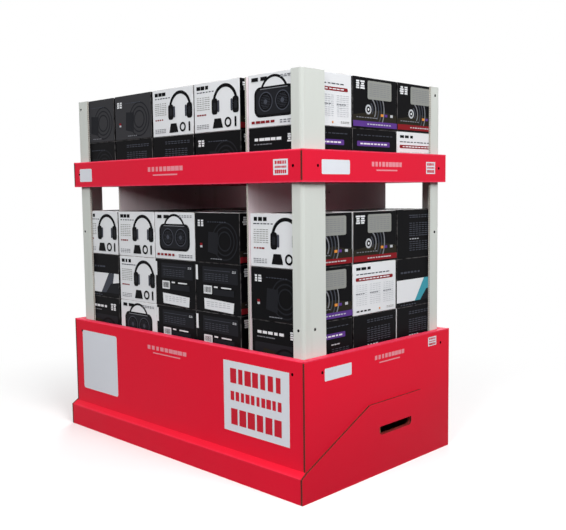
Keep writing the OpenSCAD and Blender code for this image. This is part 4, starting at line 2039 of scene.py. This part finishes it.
    def _carton(
        self,
        work: bmesh.types.BMesh,
        wear: bmesh.types.BMLayerItem,
        block: Block,
        faces: dict[Side, Design],
    ) -> None:
        """Adds one bevelled carton with a recessed lid.

        Args:
            work: The mesh under construction.
            wear: The layer that says where edges are rubbed.
            block: The carton's box.
            faces: Designs by side.
        """
        size = block.high - block.low
        place = Matrix.Translation((block.low + block.high) / 2) @ Matrix.Diagonal((*size, 1.0))
        cube = bmesh.ops.create_cube(work, size=1.0, matrix=place)["verts"]
        edges = list({edge for vertex in cube for edge in vertex.link_edges})
        made = bmesh.ops.bevel(
            work,
            geom=edges,
            offset=self.bevel,
            segments=self.bevel_steps,
            profile=0.5,
            affect="EDGES",
            clamp_overlap=True,
        )
        vertices = set(made["verts"])
        for vertex in vertices:
            reach = min(min(vertex.co[i] - block.low[i], block.high[i] - vertex.co[i]) for i in range(3))
            vertex[wear] = 1.0 if reach > self.flush else 0.0
        own = {face for vertex in vertices for face in vertex.link_faces}
        for face in own:
            side = max(faces, key=lambda option: face.normal.dot(option.out), default=None)
            if side and face.normal.dot(side.out) > self.side_share:
                face.material_index = int(faces[side].white)
            face.smooth = face.calc_area() < self.bevel * max(size)
        lid = max(own, key=lambda face: face.normal.z * face.calc_area())
        bmesh.ops.inset_region(work, faces=[lid], thickness=self.lid_margin, depth=0.0)
        bmesh.ops.inset_region(work, faces=[lid], thickness=self.lid_step, depth=-self.lid_step)


@dataclass(frozen=True)
class Lamp:
    """A soft square lamp."""

    name: str
    place: tuple[float, float, float]
    span: float
    power: float

    def hang(self, aim: tuple[float, float, float]) -> None:
        """Adds the lamp to the scene.

        Args:
            aim: The point that it looks at.
        """
        light = bpy.data.lights.new(self.name, "AREA")
        light.size = self.span
        light.energy = self.power
        placed = bpy.data.objects.new(self.name, light)
        placed.location = self.place
        placed.rotation_euler = (Vector(aim) - Vector(self.place)).to_track_quat("-Z", "Y").to_euler()
        bpy.context.scene.collection.objects.link(placed)


@dataclass
class Studio:
    """Camera at the photo's angle, soft lamps, white floor and backdrop."""

    place: tuple[float, float, float] = (1.856276, -1.748221, 0.785577)
    azimuth: float = 44.401
    pitch: float = 5.275
    roll: float = -0.66
    lens: float = 50.41
    sensor: float = 36.0
    floor_span: float = 6.4
    floor_near: float = 0.75
    floor_far: float = 1.7
    floor_drop: float = 0.0004
    floor_bounce: Colour = srgb(70, 70, 72)
    floor_tone: float = 0.93
    floor_play: float = 0.02
    floor_scale: float = 3.0
    floor_roughness: float = 0.9
    zenith: float = 0.5
    horizon: float = 0.02
    sky_rise: float = 0.9
    aim: tuple[float, float, float] = (0.0, 0.0, 0.5)
    lamps: tuple[Lamp, ...] = (
        Lamp("key_lamp", (3.3, -0.7, 2.9), 2.2, 143.0),
        Lamp("front_lamp", (1.1, -3.95, 2.5), 2.0, 125.0),
        Lamp("back_lamp", (-3.2, 3.6, 2.9), 2.8, 125.0),
    )

    def build(self) -> None:
        """Sets up the camera, the lamps, the floor and the world."""
        bpy.context.scene.view_settings.view_transform = "Standard"
        self._camera()
        self._floor()
        self._world()
        for lamp in self.lamps:
            lamp.hang(self.aim)

    def _camera(self) -> None:
        """Makes the scene's camera."""
        camera = bpy.data.cameras.new("camera")
        camera.lens = self.lens
        camera.sensor_width = self.sensor
        turn, tilt, lean = map(math.radians, (self.azimuth, self.pitch, self.roll))
        back = Vector(
            (math.sin(turn) * math.cos(tilt), -math.cos(turn) * math.cos(tilt), math.sin(tilt))
        )
        level = (-back).cross(Vector((0, 0, 1))).normalized()
        upright = level.cross(-back)
        right = level * math.cos(lean) + upright * math.sin(lean)
        up = upright * math.cos(lean) - level * math.sin(lean)
        placed = bpy.data.objects.new("camera", camera)
        turned = Matrix((right, up, back)).transposed().to_4x4()
        placed.matrix_world = Matrix.Translation(self.place) @ turned
        bpy.context.scene.collection.objects.link(placed)
        bpy.context.scene.camera = placed

    @staticmethod
    def _seen(wire: Wiring) -> bpy.types.NodeSocket:
        """1 where the camera, a reflection or a view through glass sees the surface.

        Args:
            wire: Wiring of the surface's or the world's tree.

        Returns:
            The mask.
        """
        path = wire.node("ShaderNodeLightPath").outputs
        glossy = wire.math("MAXIMUM", path["Is Camera Ray"], path["Is Glossy Ray"])
        return wire.math("MAXIMUM", glossy, path["Is Transmission Ray"])

    def _floor(self) -> None:
        """Lays a pale floor that turns plain white away from the part."""
        mesh = bpy.data.meshes.new("floor")
        half = self.floor_span / 2
        turns = ((-1, -1), (1, -1), (1, 1), (-1, 1))
        corners = [(x * half, y * half, -self.floor_drop) for x, y in turns]
        mesh.from_pydata(corners, [], [(0, 1, 2, 3)])
        surface = Surface("pale_floor")
        wire = surface.wire
        away = wire.node("ShaderNodeVectorMath", operation="LENGTH")
        wire.feed(away.inputs[0], surface.place)
        far = wire.step(away.outputs["Value"], self.floor_near, self.floor_far)
        white = wire.node("ShaderNodeEmission")
        mixed = wire.node("ShaderNodeMixShader")
        wire.feed(mixed.inputs[0], wire.math("MULTIPLY", far, self._seen(wire)))
        play = wire.math("MULTIPLY", wire.noise(surface.place, self.floor_scale), self.floor_play)
        tone = wire.blend(self._seen(wire), self.floor_bounce, WHITE)
        surface.set(
            Base_Color=wire.shade(tone, wire.math("ADD", play, self.floor_tone)),
            Roughness=self.floor_roughness,
        )
        wire.feed(mixed.inputs[1], surface.shader.outputs[0])
        wire.feed(mixed.inputs[2], white.outputs[0])
        output = surface.material.node_tree.nodes["Material Output"]
        wire.feed(output.inputs["Surface"], mixed.outputs[0])
        mesh.materials.append(surface.material)
        floor = bpy.data.objects.new("floor", mesh)
        bpy.context.scene.collection.objects.link(floor)

    def _world(self) -> None:
        """White backdrop for the camera and soft light for the part."""
        world = bpy.data.worlds.new("studio")
        bpy.context.scene.world = world
        world.use_nodes = True
        wire = Wiring(world.node_tree)
        light = world.node_tree.nodes["Background"]
        wire.feed(light.inputs["Color"], WHITE)
        rise = wire.split(wire.node("ShaderNodeTexCoord").outputs["Generated"])[2]
        share = wire.step(rise, 0.0, self.sky_rise)
        level = wire.math("ADD", wire.math("MULTIPLY", share, self.zenith - self.horizon), self.horizon)
        wire.feed(light.inputs["Strength"], level)
        backdrop = wire.node("ShaderNodeBackground")
        wire.feed(backdrop.inputs["Color"], WHITE)
        mixed = wire.node("ShaderNodeMixShader")
        wire.feed(mixed.inputs[0], self._seen(wire))
        wire.feed(mixed.inputs[1], light.outputs[0])
        wire.feed(mixed.inputs[2], backdrop.outputs[0])
        wire.feed(world.node_tree.nodes["World Output"].inputs["Surface"], mixed.outputs[0])


def main() -> None:
    """Builds and dresses the display, piece by piece."""
    logging.basicConfig(level=logging.INFO, format="%(message)s")
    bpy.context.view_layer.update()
    effects = Effects()
    press = Press(effects)
    Studio().build()
    Sleeve().build(effects, press)
    ShelfTray().build(effects, press)
    WhiteFrame().build(effects)
    Pallet().build(effects)
    CartonStack().build(effects, press)


if __name__ == "__main__":
    main()
